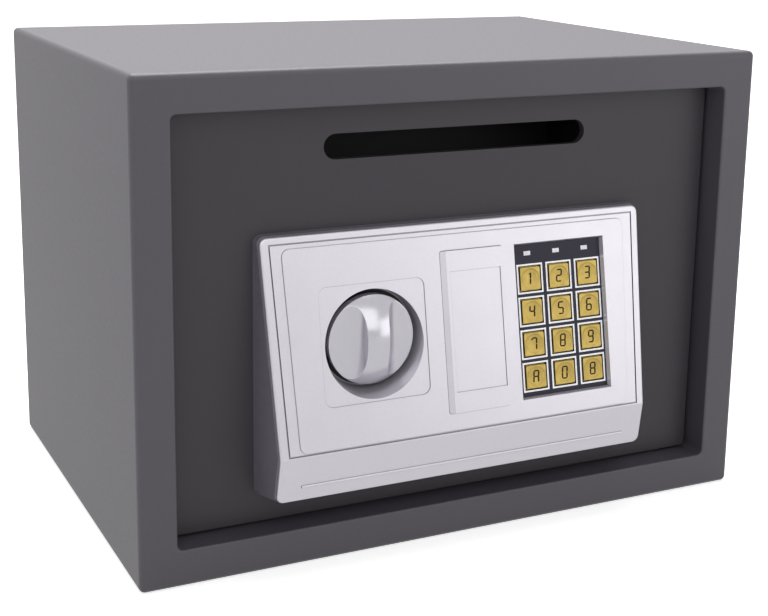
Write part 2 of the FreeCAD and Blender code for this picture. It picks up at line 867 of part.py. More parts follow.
def front_line(shift, past):
    """The panel's side view: its slope, crease and skirt, moved back by a shift and run past its ends."""
    lean = (s.crease_depth - s.lip_depth) / (s.crease_height - s.lip_height)
    top = s.panel_high + past
    low = s.panel_low - past
    crease = door_front - s.crease_depth + shift
    return [(crease + (top - s.crease_height) * face_slope, top), (crease, s.crease_height),
            (crease + (s.crease_height - low) * lean, low)]


def panel_slab(name, near, far):
    """A bent slab that follows the panel's front, from one shift back to another."""
    width = s.panel_width + 20
    ring = front_line(near, 10) + list(reversed(front_line(far, 10)))
    return padded(name, "YZ_Plane", [ring], width, s.panel_shift - width / 2)


def on_front_line(point):
    """Whether a point lies on the panel's front in the side view."""
    corners = [(y.value, z.value) for y, z in front_line(as_size(0), 0)]
    (top_y, top_z), (mid_y, mid_z), (low_y, low_z) = corners
    end_y, end_z = (top_y, top_z) if point.z >= mid_z else (low_y, low_z)
    line_y = mid_y + (end_y - mid_y) * (point.z - mid_z) / (end_z - mid_z)
    return abs(point.y - line_y) < 1e-3


def fascia_skin():
    """Bent silver sheet with its outline and crease softened."""
    sharp = common("fascia_skin_sharp", panel_block("fascia_block", 0, s.panel_corner),
                   panel_slab("fascia_slab", as_size(0), s.fascia_thick))
    return rounded("fascia_skin", sharp, s.panel_edge,
                   lambda edge: all(on_front_line(vertex.Point) for vertex in edge.Vertexes))


def face_ring(margin, top, foot):
    """A four-cornered ring on the sloped face, at a margin from its sides."""
    top_half = s.panel_width / 2 - margin
    foot_half = top_half - s.panel_draft * face_fall
    return [(s.panel_shift - foot_half, foot - face_length), (s.panel_shift + foot_half, foot - face_length),
            (s.panel_shift + top_half, -top), (s.panel_shift - top_half, -top)]


def plateau():
    """Raised field of the sloped face, inside its rim."""
    ring = face_ring(s.plateau_margin, s.plateau_top, s.plateau_foot)
    flat = padded("plateau_flat", "XY_Plane", [ring], s.plateau_rise + 1, -1)
    flat = rounded("plateau_corners", flat, s.panel_corner, lambda edge: runs_along(edge, "Z"))
    return rounded("plateau_soft", flat, s.plateau_rise * 0.6,
                   lambda edge: lies_at(edge, "Z", s.plateau_rise))


def rim_groove():
    """Fine groove round the sloped face, outside the raised field."""
    step = s.groove_width
    rings = [face_ring(s.groove_margin, s.groove_top, s.groove_foot),
             face_ring(s.groove_margin + step, s.groove_top + step, s.groove_foot + step)]
    return padded("rim_groove", "XY_Plane", rings, s.groove_deep + 1, -s.groove_deep)


def bowl(name, extra, floor_y):
    """A tapered round space about the knob's axis, wider to the front."""
    taper = (s.bowl_radius - s.bowl_floor_radius) / s.knob_face_depth
    start = door_front - s.crease_depth - 10
    length = floor_y - start
    foot = s.bowl_floor_radius + extra
    return cone(name, (s.knob_across, start, s.knob_height), foot + length * taper, foot, length, "Y")


def cover_box(name, grow, low, thick):
    """A block of the little cover's outline, in the face's own axes."""
    return box(name, (s.key_cover_left - grow, -s.key_cover_top - s.key_cover_height - grow, low),
               (s.key_cover_width + 2 * grow, s.key_cover_height + 2 * grow, thick))


def clip_boxes(name, grow, low, thick):
    """The little cover's two clips, or the slots for them."""
    across = s.key_cover_left + s.key_cover_width / 2
    middle = -s.key_cover_top - s.key_cover_height / 2
    reach = s.key_cover_height / 2 - s.clip_inset
    return [box(f"{name}_{side}", (across - s.clip_length / 2 - grow,
                                   middle + sign * reach - s.clip_width / 2 - grow, low),
                (s.clip_length + 2 * grow, s.clip_width + 2 * grow, thick))
            for side, sign in (("low", -1), ("high", 1))]


def window_block(name, shrink, low, thick):
    """A straight block of the keypad window's outline, in the face's own axes."""
    return box(name, (s.window_left + shrink, -s.window_top - s.window_height + shrink, low),
               (s.window_width - 2 * shrink, s.window_height - 2 * shrink, thick))


def window_mouth():
    """The window's bevelled mouth, which narrows from the face to the overlay."""
    low = -s.window_top - s.window_height
    right = s.window_left + s.window_width
    bevel = s.window_bevel
    mouth = frustum("window_mouth", (s.window_left, low), (right, -s.window_top),
                    (s.window_left + bevel, low + bevel), (right - bevel, -s.window_top - bevel),
                    -s.plateau_rise, s.overlay_sink)
    mouth.Placement = Placement(Vector(), TURNS["Y"])
    return mouth


def field_sunk():
    """Shallow square recess round the knob's bowl."""
    middle = (s.knob_height - s.face_top) * face_length / face_drop
    block = box("field_sunk_block", (s.knob_across - s.field_width / 2, middle - s.field_height / 2,
                                     s.plateau_rise - s.field_sink),
                (s.field_width, s.field_height, s.field_sink + 1))
    return rounded("field_sunk", block, s.field_corner, lambda edge: runs_along(edge, "Z"))


def skirt_ridge():
    """Fine raised line across the skirt under the crease."""
    lean = (s.crease_depth - s.lip_depth) / (s.crease_height - s.lip_height)
    return rod("skirt_ridge", (s.panel_shift - s.ridge_length / 2,
                               door_front - s.crease_depth + s.ridge_drop * lean,
                               s.crease_height - s.ridge_drop), s.ridge_radius, s.ridge_length, "X")


def fascia():
    """Silver front of the panel with the knob's bowl, the little cover's seat and the keypad window."""
    cup = common("bowl_cup", bowl("bowl_outside", s.bowl_wall, bowl_floor + s.bowl_wall),
                 panel_slab("bowl_reach", as_size(0), s.crease_depth + 10))
    collar = window_block("window_collar", -s.collar_wall, board_low, -board_low)
    solid = join("fascia_full", fascia_skin(), on_face("plateau", plateau()), skirt_ridge(), cup,
                 on_face("collar_on_face", collar))
    seat_block = cover_box("cover_seat_block", s.key_cover_gap, s.plateau_rise - s.key_cover_sink,
                           s.key_cover_sink + 1)
    seat = rounded("cover_seat", seat_block, s.panel_edge, lambda edge: runs_along(edge, "Z"))
    slots = clip_boxes("clip_slot", s.clip_slack, -s.fascia_thick - 1, s.fascia_thick + 1)
    through = window_block("window_through", s.window_bevel, board_low - 1, 1 - board_low)
    flat_cuts = join("face_cut_set", field_sunk(), seat, *slots, through, window_mouth(), rim_groove())
    spindle_way = rod("bowl_spindle_way", (s.knob_across, bowl_floor - 1, s.knob_height),
                      s.spindle_radius + 1, s.bowl_wall + 2, "Y")
    lock_way = rod("lock_way", (s.lock_across, door_front - s.crease_depth - 5, s.knob_height),
                   s.lock_hole_radius, s.crease_depth, "Y")
    node("fascia", cut("fascia_cut", solid, on_face("face_cuts", flat_cuts),
                       bowl("bowl_space", as_size(0), bowl_floor), spindle_way, lock_way))


def panel_housing():
    """Dark tapered sides between the door and the silver front, with the four screw bosses."""
    outer = common("housing_outside", panel_block("housing_block", 0, s.panel_corner),
                   panel_slab("housing_reach", s.fascia_thick, s.crease_depth + 20))
    walls = cut("housing_walls", outer, panel_block("housing_space", s.housing_wall, None))
    bosses = [rod(f"boss_{n}", (x, door_front - s.crease_depth, z), s.boss_radius, s.crease_depth, "Y")
              for n, (x, z) in enumerate(boss_places())]
    ribs = []
    for n, (x, z) in enumerate(boss_places()):
        low_x = x if x.value > 0 else s.panel_shift - s.panel_width / 2 + 1
        length = s.boss_inset_side - 1
        ribs.append(box(f"boss_rib_{n}", (low_x, door_front - s.crease_depth, z - s.boss_rib / 2),
                        (length, s.crease_depth, s.boss_rib)))
    bosses = common("boss_set", join("boss_rods", *bosses, *ribs), outer)
    holes = [rod(f"boss_hole_{n}", (x, door_back - s.panel_screw_length, z), s.panel_screw_radius,
                 s.panel_screw_length, "Y") for n, (x, z) in enumerate(boss_places())]
    node("panel_housing", cut("housing_cut", join("housing_full", walls, bosses), *holes))


def panel_screws():
    screws = [screw(f"panel_screw_{n}", x, z, door_back, s.panel_screw_radius, s.panel_screw_length)
              for n, (x, z) in enumerate(boss_places())]
    node("panel_screws", together("panel_screw_set", *screws))


def key_places():
    """Each key's name and its middle, in the face's own axes."""
    return [(name, s.key_first_across + (number % 3) * s.key_pitch_across,
             -s.key_first_down - (number // 3) * s.key_pitch_down) for number, name in enumerate(KEYS)]


def overlay_outline():
    """The keypad's left, low, right and high edges inside the window."""
    grow = s.window_bevel + s.overlay_gap
    return (s.window_left + grow, grow - s.window_top - s.window_height,
            s.window_left + s.window_width - grow, -s.window_top - grow)


def keypad_overlay():
    """Overlay with a window for each key and each lamp, and the lamps' lenses."""
    hole = s.key_side / 2 + s.key_gap
    rings = [rectangle(*overlay_outline())]
    rings += [rectangle(x - hole, y - hole, x + hole, y + hole) for _, x, y in key_places()]
    half_wide = s.lens_width / 2
    half_tall = s.lens_height / 2
    lenses = []
    for n in range(3):
        x = s.key_first_across - s.lens_shift + n * s.key_pitch_across
        rings.append(rectangle(x - half_wide, -s.lens_down - half_tall,
                               x + half_wide, half_tall - s.lens_down))
        lenses.append(box(f"lens_{n}", (x - half_wide, -s.lens_down - half_tall, overlay_low),
                          (s.lens_width, s.lens_height, s.overlay_thick)))
    sheet = padded("overlay_sheet", "XY_Plane", rings, s.overlay_thick, overlay_low)
    node("keypad_overlay", on_face("overlay_on_face", sheet))
    node("led_lenses", on_face("lenses_on_face", *lenses))


def key(name, x, y):
    """A square metal key with a shallow round dish, on a flange that the overlay holds in."""
    top = s.key_rise - s.overlay_sink
    half = s.key_side / 2
    cap = box(f"key_{name}_cap", (x - half, y - half, flange_low), (s.key_side, s.key_side, top - flange_low))
    cap = rounded(f"key_{name}_corners", cap, s.key_corner, lambda edge: runs_along(edge, "Z"))
    half = s.key_flange_side / 2
    flange = box(f"key_{name}_flange", (x - half, y - half, flange_low),
                 (s.key_flange_side, s.key_flange_side, s.key_flange))
    dish = ball(f"key_{name}_dish", (x, y, top - s.key_dish + s.key_dish_radius), s.key_dish_radius)
    full = join(f"key_{name}_full", cap, flange)
    node(f"key_{name}", on_face(f"key_{name}_on_face", cut(f"key_{name}_cut", full, dish)))


def key_mat():
    """Silicone mat with a pad under each key, and the board behind it."""
    left, low, right, high = overlay_outline()
    sheet = box("key_mat_sheet", (left, low, pad_low - s.mat_sheet), (right - left, high - low, s.mat_sheet))
    pads = [box(f"key_mat_pad_{name}", (x - s.mat_pad_side / 2, y - s.mat_pad_side / 2, pad_low),
                (s.mat_pad_side, s.mat_pad_side, s.mat_pad)) for name, x, y in key_places()]
    node("key_mat", on_face("key_mat_on_face", join("key_mat_flat", sheet, *pads)))
    board = box("keypad_board_flat", (left, low, board_low), (right - left, high - low, s.board_thick))
    node("keypad_board", on_face("keypad_board_on_face", board))


def key_cover():
    """Little cover over the override lock: bevelled on the left, with a sunk middle and two clips."""
    top = s.plateau_rise + s.key_cover_rise
    bottom = s.plateau_rise - s.key_cover_sink + s.key_cover_gap
    left = s.key_cover_left
    low = -s.key_cover_top - s.key_cover_height
    plate = rounded("key_cover_corners", cover_box("key_cover_block", as_size(0), bottom, top - bottom),
                    s.panel_edge, lambda edge: runs_along(edge, "Z"))
    bevel = padded("key_cover_bevel", "XZ_Plane",
                   [[(left - 1, s.plateau_rise), (left, s.plateau_rise), (left + s.key_cover_bevel, top),
                     (left + s.key_cover_bevel, top + 1), (left - 1, top + 1)]],
                   s.key_cover_height + 2, 1 - s.key_cover_top)
    inset = box("key_cover_inset", (left + s.inset_left, low + s.inset_end, top - s.inset_deep),
                (s.key_cover_width - s.inset_left - s.inset_side, s.key_cover_height - 2 * s.inset_end,
                 s.inset_deep + 1))
    clips = clip_boxes("clip", as_size(0), bottom - s.clip_reach, s.clip_reach)
    full = join("key_cover_full", cut("key_cover_cut", plate, bevel, inset), *clips)
    node("key_cover", on_face("key_cover_on_face", full))


def knob():
    """Round domed knob, scooped away on both sides to leave an upright grip."""
    blank = rod("knob_blank", (s.knob_across, knob_front, s.knob_height), s.knob_radius,
                s.knob_dome + s.knob_rim, "Y")
    dome_radius = (s.knob_radius * s.knob_radius + s.knob_dome * s.knob_dome) / (2 * s.knob_dome)
    dome = ball("knob_dome", (s.knob_across, knob_front + dome_radius, s.knob_height), dome_radius)
    tall = 3 * s.knob_radius
    foot = s.knob_height - tall / 2
    floor_y = knob_rim_y - 0.1
    tools = []
    for side, sign in (("left", -1), ("right", 1)):
        centre = s.knob_across + sign * s.scoop_offset
        low_x = centre if sign > 0 else centre - s.knob_radius
        tools.append(rod(f"scoop_{side}", (centre, floor_y - s.scoop_radius, foot), s.scoop_radius,
                         tall, "Z"))
        tools.append(box(f"scoop_{side}_way", (low_x, floor_y - 2 * s.scoop_radius, foot),
                         (s.knob_radius, 2 * s.scoop_radius, tall)))
    bore = rod("knob_bore", (s.knob_across, knob_back - s.spindle_in_knob, s.knob_height), s.spindle_radius,
               s.spindle_in_knob + 1, "Y")
    body = cut("knob_cut", common("knob_domed", blank, dome), *tools, bore)

    def crest(edge):
        bounds = edge.BoundBox
        return bounds.ZLength > s.knob_radius.value and bounds.YMin < knob_front.value + 1.5

    node("knob", rounded("knob_soft", body, s.scoop_edge, crest))


def spindle_bush():
    """Flanged bush in the door that the spindle turns in."""
    bore = s.spindle_radius + s.spindle_clearance
    lip = s.spindle_bush_radius + 2
    bush = turned("spindle_bush_turned", [(bore, -s.bush_flange), (lip, -s.bush_flange), (lip, 0),
                                          (s.spindle_bush_radius, 0), (s.spindle_bush_radius, s.door_thick),
                                          (bore, s.door_thick)])
    bush.Placement = Placement(Vector(), TURNS["Y"])
    place(bush, s.knob_across, door_front, s.knob_height)
    node("spindle_bush", bush)


def knob_spindle():
    """Spindle with the crank and its screw on the end behind the door."""
    start = knob_back - s.spindle_in_knob
    hub_front = carriage_back + s.crank_gap
    hub_back = hub_front + s.crank_hub
    bar = rod("spindle_bar", (s.knob_across, start, s.knob_height), s.spindle_radius, hub_back - start, "Y")
    tapped = rod("spindle_tapped", (s.knob_across, hub_back - s.small_screw_length, s.knob_height),
                 s.small_screw_radius, s.small_screw_length + 1, "Y")
    node("knob_spindle", cut("spindle_cut", bar, tapped))
    node("crank_screw", screw("crank_screw", s.knob_across, s.knob_height, hub_back, s.small_screw_radius,
                              s.small_screw_length, s.spindle_radius + 1.5))
    lean_x = sine(s.crank_swing)
    lean_z = cosine(s.crank_swing)
    pin_x = s.knob_across + s.crank_radius * lean_x
    pin_z = s.knob_height + s.crank_radius * lean_z
    half = s.crank_pin_radius + 1
    web = padded("crank_web", "XZ_Plane",
                 [[(s.knob_across - half * lean_z, s.knob_height + half * lean_x),
                   (s.knob_across + half * lean_z, s.knob_height - half * lean_x),
                   (pin_x + half * lean_z, pin_z - half * lean_x),
                   (pin_x - half * lean_z, pin_z + half * lean_x)]], s.crank_thick, hub_front + s.crank_thick)
    hub = rod("crank_hub", (s.knob_across, hub_front, s.knob_height), s.crank_hub_radius, s.crank_hub, "Y")
    eye = rod("crank_eye", (pin_x, hub_front, pin_z), half, s.crank_thick, "Y")
    pin = rod("crank_pin", (pin_x, carriage_front, pin_z), s.crank_pin_radius, hub_front + 1 - carriage_front,
              "Y")
    bore = rod("crank_bore", (s.knob_across, hub_front - 1, s.knob_height), s.spindle_radius,
               s.crank_hub + 2, "Y")
    node("knob_crank", cut("crank_cut", join("crank_full", hub, eye, web, pin), bore))


def bolt_carriage():
    """Sliding plate that carries the bolts, with slots for its studs, the crank's pin and the spindle."""
    low = s.knob_height - s.carriage_height / 2
    start = carriage_front - 1
    length = s.carriage_thick + 2
    plate = box("carriage_plate", (s.carriage_left, carriage_front, low),
                (s.carriage_right - s.carriage_left, s.carriage_thick, s.carriage_height))
    flange = box("carriage_flange", (s.carriage_left, carriage_front, low),
                 (s.carriage_thick, s.carriage_flange, s.carriage_height))
    tip = s.plunger_across + s.plunger_radius + s.tooth_gap + s.tooth_length
    arm = box("carriage_arm", (s.carriage_right - 1, carriage_front, s.arm_top - s.arm_height),
              (tip + 1 - s.carriage_right, s.carriage_thick, s.arm_height))
    tooth = box("carriage_tooth", (tip - s.tooth_length, carriage_front, s.arm_top - 1),
                (s.tooth_length, s.tooth_depth, s.tooth_height + 1))
    heel = box("carriage_heel", (tip - s.tooth_length, carriage_front, s.arm_top - s.arm_height),
               (s.tooth_length, s.tooth_depth, s.arm_height))
    notch = s.spindle_radius + s.carriage_slack
    pin = s.crank_pin_radius + s.crank_pin_slack
    pin_x = s.knob_across + s.crank_radius * sine(s.crank_swing)
    pin_low = s.knob_height + s.crank_radius * cosine(s.crank_swing) - pin
    stud = s.stud_radius + s.stud_slack
    tools = [box("carriage_notch", (s.knob_across - notch, start, s.knob_height - notch),
                 (s.cab_width, length, 2 * notch)),
             box("carriage_pin_slot", (pin_x - pin, start, pin_low),
                 (2 * pin, length, s.knob_height + s.crank_radius + pin - pin_low))]
    tools += [slot(f"carriage_slot_{n}", s.stud_across + s.bolt_travel / 2, z, s.bolt_travel + 2 * stud,
                   2 * stud, start, length) for n, z in enumerate(stud_heights)]
    tools += [rod(f"carriage_bolt_hole_{n}", (s.carriage_left - 1, bolt_y, z), s.bolt_stud_radius,
                  s.carriage_thick + 2, "X") for n, z in enumerate(bolt_heights)]
    full = join("carriage_full", plate, flange, arm, tooth, heel)
    node("bolt_carriage", cut("carriage_cut", full, *tools))


def locking_bolts():
    """Two round bolts with chamfered noses, and the nuts that hold them to the carriage's flange."""
    tip = s.bolt_rest_gap - door_side
    bolts = []
    nuts = []
    for n, z in enumerate(bolt_heights):
        length = s.carriage_left - tip
        blank = cut(f"bolt_{n}_blank", rod(f"bolt_{n}_bar", (tip, bolt_y, z), s.bolt_radius, length, "X"),
                    cut(f"bolt_{n}_nose", rod(f"bolt_{n}_end", (tip - 1, bolt_y, z), s.bolt_radius + 1,
                                              s.bolt_nose + 1, "X"),
                        cone(f"bolt_{n}_taper", (tip, bolt_y, z), s.bolt_radius - s.bolt_nose, s.bolt_radius,
                             s.bolt_nose, "X")))
        stud_end = s.carriage_left + s.carriage_thick + s.bolt_nut + 1
        stud = rod(f"bolt_{n}_stud", (s.carriage_left - 1, bolt_y, z), s.bolt_stud_radius,
                   stud_end + 1 - s.carriage_left, "X")
        bolts.append(join(f"bolt_{n}", blank, stud))
        nuts.append(nut(f"bolt_nut_{n}", s.bolt_nut_radius, s.bolt_stud_radius, s.bolt_nut, "X",
                        (s.carriage_left + s.carriage_thick, bolt_y, z)))
    node("locking_bolts", together("bolt_pair", *bolts))
    node("bolt_nuts", together("bolt_nut_pair", *nuts))


def nut(name, radius, bore, thick, axis, start):
    """A hexagon nut on an axis, from its low face."""
    half = radius / 2
    tall = radius * root(as_size(3)) / 2
    ring = [(radius, 0), (half, tall), (-half, tall), (-radius, 0), (-half, -tall), (half, -tall)]
    body = padded(name, "XY_Plane", [ring, (0, 0, bore)], thick)
    body.Placement = Placement(Vector(), TURNS[axis])
    place(body, *start)
    return body


def guide_studs():
    """Headed studs on the door that the carriage slides along."""
    shoulder = carriage_back + s.stud_slack
    studs = []
    for n, z in enumerate(stud_heights):
        stem = rod(f"stud_{n}_stem", (s.stud_across, door_back, z), s.stud_radius, shoulder - door_back, "Y")
        head = rod(f"stud_{n}_head", (s.stud_across, shoulder, z), s.stud_head_radius, s.stud_head, "Y")
        studs.append(join(f"stud_{n}", stem, head))
    node("guide_studs", together("stud_pair", *studs))


def solenoid_screw_heights():
    top = solenoid_low + s.coil_height + 2 * s.bracket_thick
    return (solenoid_low - s.solenoid_ear / 2, top + s.solenoid_ear / 2)


def solenoid_frame():
    """Bracket on the door that holds the coil, with an ear at each end."""
    left = s.plunger_across - s.solenoid_width / 2
    tall = s.coil_height + 2 * s.bracket_thick
    deep = plunger_y + s.coil_radius - door_back
    ear_left = s.plunger_across - s.solenoid_ear_width / 2
    block = box("solenoid_block", (left, door_back, solenoid_low), (s.solenoid_width, deep, tall))
    space = box("solenoid_space", (left - 1, door_back + s.bracket_thick, solenoid_low + s.bracket_thick),
                (s.solenoid_width + 2, deep, s.coil_height))
    ears = box("solenoid_ears", (ear_left, door_back, solenoid_low - s.solenoid_ear),
               (s.solenoid_ear_width, s.bracket_thick, tall + 2 * s.solenoid_ear))
    holes = [rod("solenoid_core_hole", (s.plunger_across, plunger_y, solenoid_low - 1),
                 s.core_radius + s.core_clearance, s.bracket_thick + 2, "Z")]
    holes += [rod(f"solenoid_screw_hole_{n}", (s.plunger_across, door_back - 1, z), s.small_screw_radius,
                  s.bracket_thick + 2, "Y") for n, z in enumerate(solenoid_screw_heights())]
    bent = join("solenoid_bent", cut("solenoid_fold", block, space), ears)
    node("solenoid_frame", cut("solenoid_frame_cut", bent, *holes))
    screws = [screw(f"solenoid_screw_{n}", s.plunger_across, z, door_back + s.bracket_thick,
                    s.small_screw_radius, s.small_screw_length)
              for n, z in enumerate(solenoid_screw_heights())]
    node("solenoid_screws", together("solenoid_screw_pair", *screws))


def solenoid_coil():
    """Wound coil on its bobbin, with a bore for the plunger's core."""
    bore = s.core_radius + s.core_clearance
    cheek = s.bracket_thick
    waist = s.coil_radius - 1
    coil = turned("solenoid_coil", [(bore, 0), (s.coil_radius, 0), (s.coil_radius, cheek), (waist, cheek),
                                    (waist, s.coil_height - cheek), (s.coil_radius, s.coil_height - cheek),
                                    (s.coil_radius, s.coil_height), (bore, s.coil_height)])
    place(coil, s.plunger_across, plunger_y, solenoid_low + s.bracket_thick)
    node("solenoid_coil", coil)


def plunger():
    """Stepped pin: its tip stops the carriage's tooth, and its core rides in the coil."""
    tip = s.arm_top + s.tooth_height + s.plunger_over_tooth
    piece = turned("plunger", [(0, 0), (s.plunger_radius, 0), (s.plunger_radius, collar_low - tip),
                               (s.collar_radius, collar_low - tip),
                               (s.collar_radius, collar_low + s.collar_thick - tip),
                               (s.core_radius, collar_low + s.collar_thick - tip),
                               (s.core_radius, collar_low + s.collar_thick + s.core_length - tip),
                               (0, collar_low + s.collar_thick + s.core_length - tip)])
    place(piece, s.plunger_across, plunger_y, tip)
    node("plunger", piece)


def plunger_spring():
    """Small coil spring between the plunger's collar and the bracket, built up of half turns."""
    rise = (s.solenoid_gap - 2 * s.spring_wire) / (2 * s.spring_turns)
    halves = []
    for n in range(4):
        half = doc.addObject("Part::Torus", f"spring_half_{n}")
        bind(half, "Radius1", s.spring_radius)
        bind(half, "Radius2", s.spring_wire)
        half.Angle3 = 180
        half.Placement = Placement(Vector(), Rotation(Vector(0, 1, 0), 1))
        bind(half, "Placement.Rotation.Angle", rise / s.spring_radius * (90 / math.pi))
        turn = together(f"spring_turn_{n}", half)
        turn.Placement = Placement(Vector(), Rotation(Vector(0, 0, 1), 180 * (n % 2)))
        place(turn, 0, 0, rise * (n + 0.5))
        halves.append(turn)
    spring = join("plunger_spring", *halves)
    place(spring, s.plunger_across, plunger_y, collar_low + s.collar_thick + s.spring_wire)
    node("plunger_spring", spring)


def lock_housing():
    """Flanged barrel of the override lock, held in the door by its nut."""
    bore = s.plug_radius + s.plug_clearance
    length = lock_rear - lock_front
    flange = s.lock_flange_radius
    barrel = turned("lock_housing", [(bore, 0), (flange, 0), (flange, s.lock_flange),
                                     (s.lock_radius, s.lock_flange), (s.lock_radius, length), (bore, length)])
    barrel.Placement = Placement(Vector(), TURNS["Y"])
    place(barrel, s.lock_across, lock_front, s.knob_height)
    node("lock_housing", barrel)
    node("lock_nut", nut("lock_nut", s.lock_nut_radius, s.lock_radius, s.lock_nut, "Y",
                         (s.lock_across, door_back, s.knob_height)))


def override_plug():
    """Round plug with its keyway, and on its tail the cam that lifts the plunger's collar."""
    bar = rod("plug_bar", (s.lock_across, lock_front, s.knob_height), s.plug_radius,
              plug_rear - lock_front, "Y")
    keyway = box("plug_keyway", (s.lock_across - s.keyway_width / 2, lock_front - 1,
                                 s.knob_height - s.keyway_height / 2),
                 (s.keyway_width, s.keyway_depth + 1, s.keyway_height))
    tapped = rod("plug_tapped", (s.lock_across, plug_rear - s.small_screw_length, s.knob_height),
                 s.small_screw_radius, s.small_screw_length + 1, "Y")
    node("override_plug", cut("plug_cut", bar, keyway, tapped))
    hub = rod("cam_hub", (s.lock_across, plug_rear, s.knob_height), s.plug_radius, s.cam_thick, "Y")
    blade = box("cam_blade", (s.lock_across - s.cam_width / 2, plug_rear, s.knob_height - s.cam_reach),
                (s.cam_width, s.cam_thick, s.cam_reach))
    hole = rod("cam_hole", (s.lock_across, plug_rear - 1, s.knob_height), s.small_screw_radius,
               s.cam_thick + 2, "Y")
    node("override_cam", cut("cam_cut", join("cam_full", hub, blade), hole))
    node("cam_screw", screw("cam_screw", s.lock_across, s.knob_height, plug_rear + s.cam_thick,
                            s.small_screw_radius, s.small_screw_length))


def cable_grommet():
    """Rubber ring in the door's harness hole."""
    wide = s.grommet_radius + s.grommet_lip
    lip = s.grommet_lip_thick
    back = s.door_thick
    ring = turned("cable_grommet", [(s.grommet_bore, -lip), (wide, -lip), (wide, 0), (s.grommet_radius, 0),
                                    (s.grommet_radius, back), (wide, back), (wide, back + lip),
                                    (s.grommet_bore, back + lip)])
    ring.Placement = Placement(Vector(), TURNS["Y"])
    place(ring, s.grommet_across, door_front, s.grommet_height)
    node("cable_grommet", ring)


def control_board():
    """Board on four posts, with a connector at each end and the reset button's switch."""
    left = control_left
    low = control_low
    front_y = door_back + s.control_stand
    board = box("control_sheet", (left, front_y, low), (s.control_width, s.control_thick, s.control_height))
    inset = s.control_post_inset
    posts = [rod(f"control_post_{n}_{m}", (x, door_back, z), s.control_post_radius, s.control_stand, "Y")
             for n, x in enumerate((left + inset, left + s.control_width - inset))
             for m, z in enumerate((low + inset, low + s.control_height - inset))]
    parts_y = front_y + s.control_thick
    connectors = [box(f"control_connector_{n}", (x, parts_y, low + s.control_height - 2 * s.connector_height),
                      (s.connector_width, s.connector_deep, s.connector_height))
                  for n, x in enumerate((left + 2 * inset,
                                         left + s.control_width - 2 * inset - s.connector_width))]
    half = s.switch_side / 2
    switch = box("control_switch", (reset_across - half, parts_y, reset_height - half),
                 (s.switch_side, s.switch_deep, s.switch_side))
    node("control_board", join("control_full", board, *posts, *connectors, switch))


def reset_button():
    """Button through the inner cover that sets a new code, with a flange behind the sheet."""
    inner = door_back + s.control_stand + s.control_thick + s.switch_deep + s.reset_free + s.reset_travel
    length = cover_back + s.reset_rise - inner
    flange = tray_back - s.reset_clearance - inner
    wide = s.reset_radius + 2
    start = flange - s.reset_flange
    button = turned("reset_button", [(0, 0), (s.reset_radius, 0), (s.reset_radius, start), (wide, start),
                                     (wide, flange), (s.reset_radius, flange), (s.reset_radius, length),
                                     (0, length)])
    button.Placement = Placement(Vector(), TURNS["Y"])
    place(button, reset_across, inner, reset_height)
    node("reset_button", button)


def cell_heights():
    pitch = 2 * s.cell_radius + s.cell_gap
    first = bay_low + s.bay_wall + s.cell_gap + s.cell_radius
    return [first + n * pitch for n in range(SIZES["cell_count"])]


def battery_tray():
    """Open box for the cells, with a lip on the inner cover and rails that the lid slides in."""
    deep = cover_back - bay_front
    shell = box("bay_block", (bay_left, bay_front, bay_low), (bay_wide, deep, bay_tall))
    lip = box("bay_lip", (bay_left - s.bay_lip, cover_back, bay_low - s.bay_lip),
              (bay_wide + 2 * s.bay_lip, s.bay_lip_thick, bay_tall + 2 * s.bay_lip))
    space = box("bay_space", (bay_left + s.bay_wall, bay_front + s.bay_wall, bay_low + s.bay_wall),
                (bay_wide - 2 * s.bay_wall, deep + 10, bay_tall - 2 * s.bay_wall))
    rise = s.lid_thick + 2 * s.lid_gap
    rails = []
    for side, foot, inner in (("low", bay_low - s.bay_lip, bay_low - s.bay_lip),
                              ("high", bay_low + bay_tall + s.bay_lip - s.rail_thick,
                               bay_low + bay_tall + s.bay_lip - s.rail_thick - s.rail_lip)):
        rails.append(box(f"rail_{side}_web", (bay_left - s.bay_lip, lip_back, foot),
                         (bay_wide + 2 * s.bay_lip, rise, s.rail_thick)))
        rails.append(box(f"rail_{side}_top", (bay_left - s.bay_lip, lip_back + rise, inner),
                         (bay_wide + 2 * s.bay_lip, s.rail_thick, s.rail_thick + s.rail_lip)))
    stop = box("rail_stop", (bay_left + bay_wide + s.bay_lip - s.rail_thick, lip_back, bay_low - s.bay_lip),
               (s.rail_thick, rise, bay_tall + 2 * s.bay_lip))
    node("battery_tray", cut("bay_cut", join("bay_full", shell, lip, *rails, stop), space))


def battery_cover():
    """Lid that slides off to the left, with a thumb grip."""
    low = bay_low - s.bay_lip + s.rail_thick + s.lid_gap
    height = bay_tall + 2 * (s.bay_lip - s.rail_thick - s.lid_gap)
    start = lip_back + s.lid_gap
    right = bay_left + bay_wide + s.bay_lip - s.rail_thick - s.lid_gap
    left = bay_left - s.bay_lip
    plate = box("lid_plate", (left, start, low), (right - left, s.lid_thick, height))
    ribs = [box(f"lid_rib_{n}", (left + (n + 2) * s.lid_rib_pitch, start + s.lid_thick, low + height / 3),
                (s.lid_rib, s.lid_rib, height / 3)) for n in range(4)]
    node("battery_cover", join("lid_full", plate, *ribs))


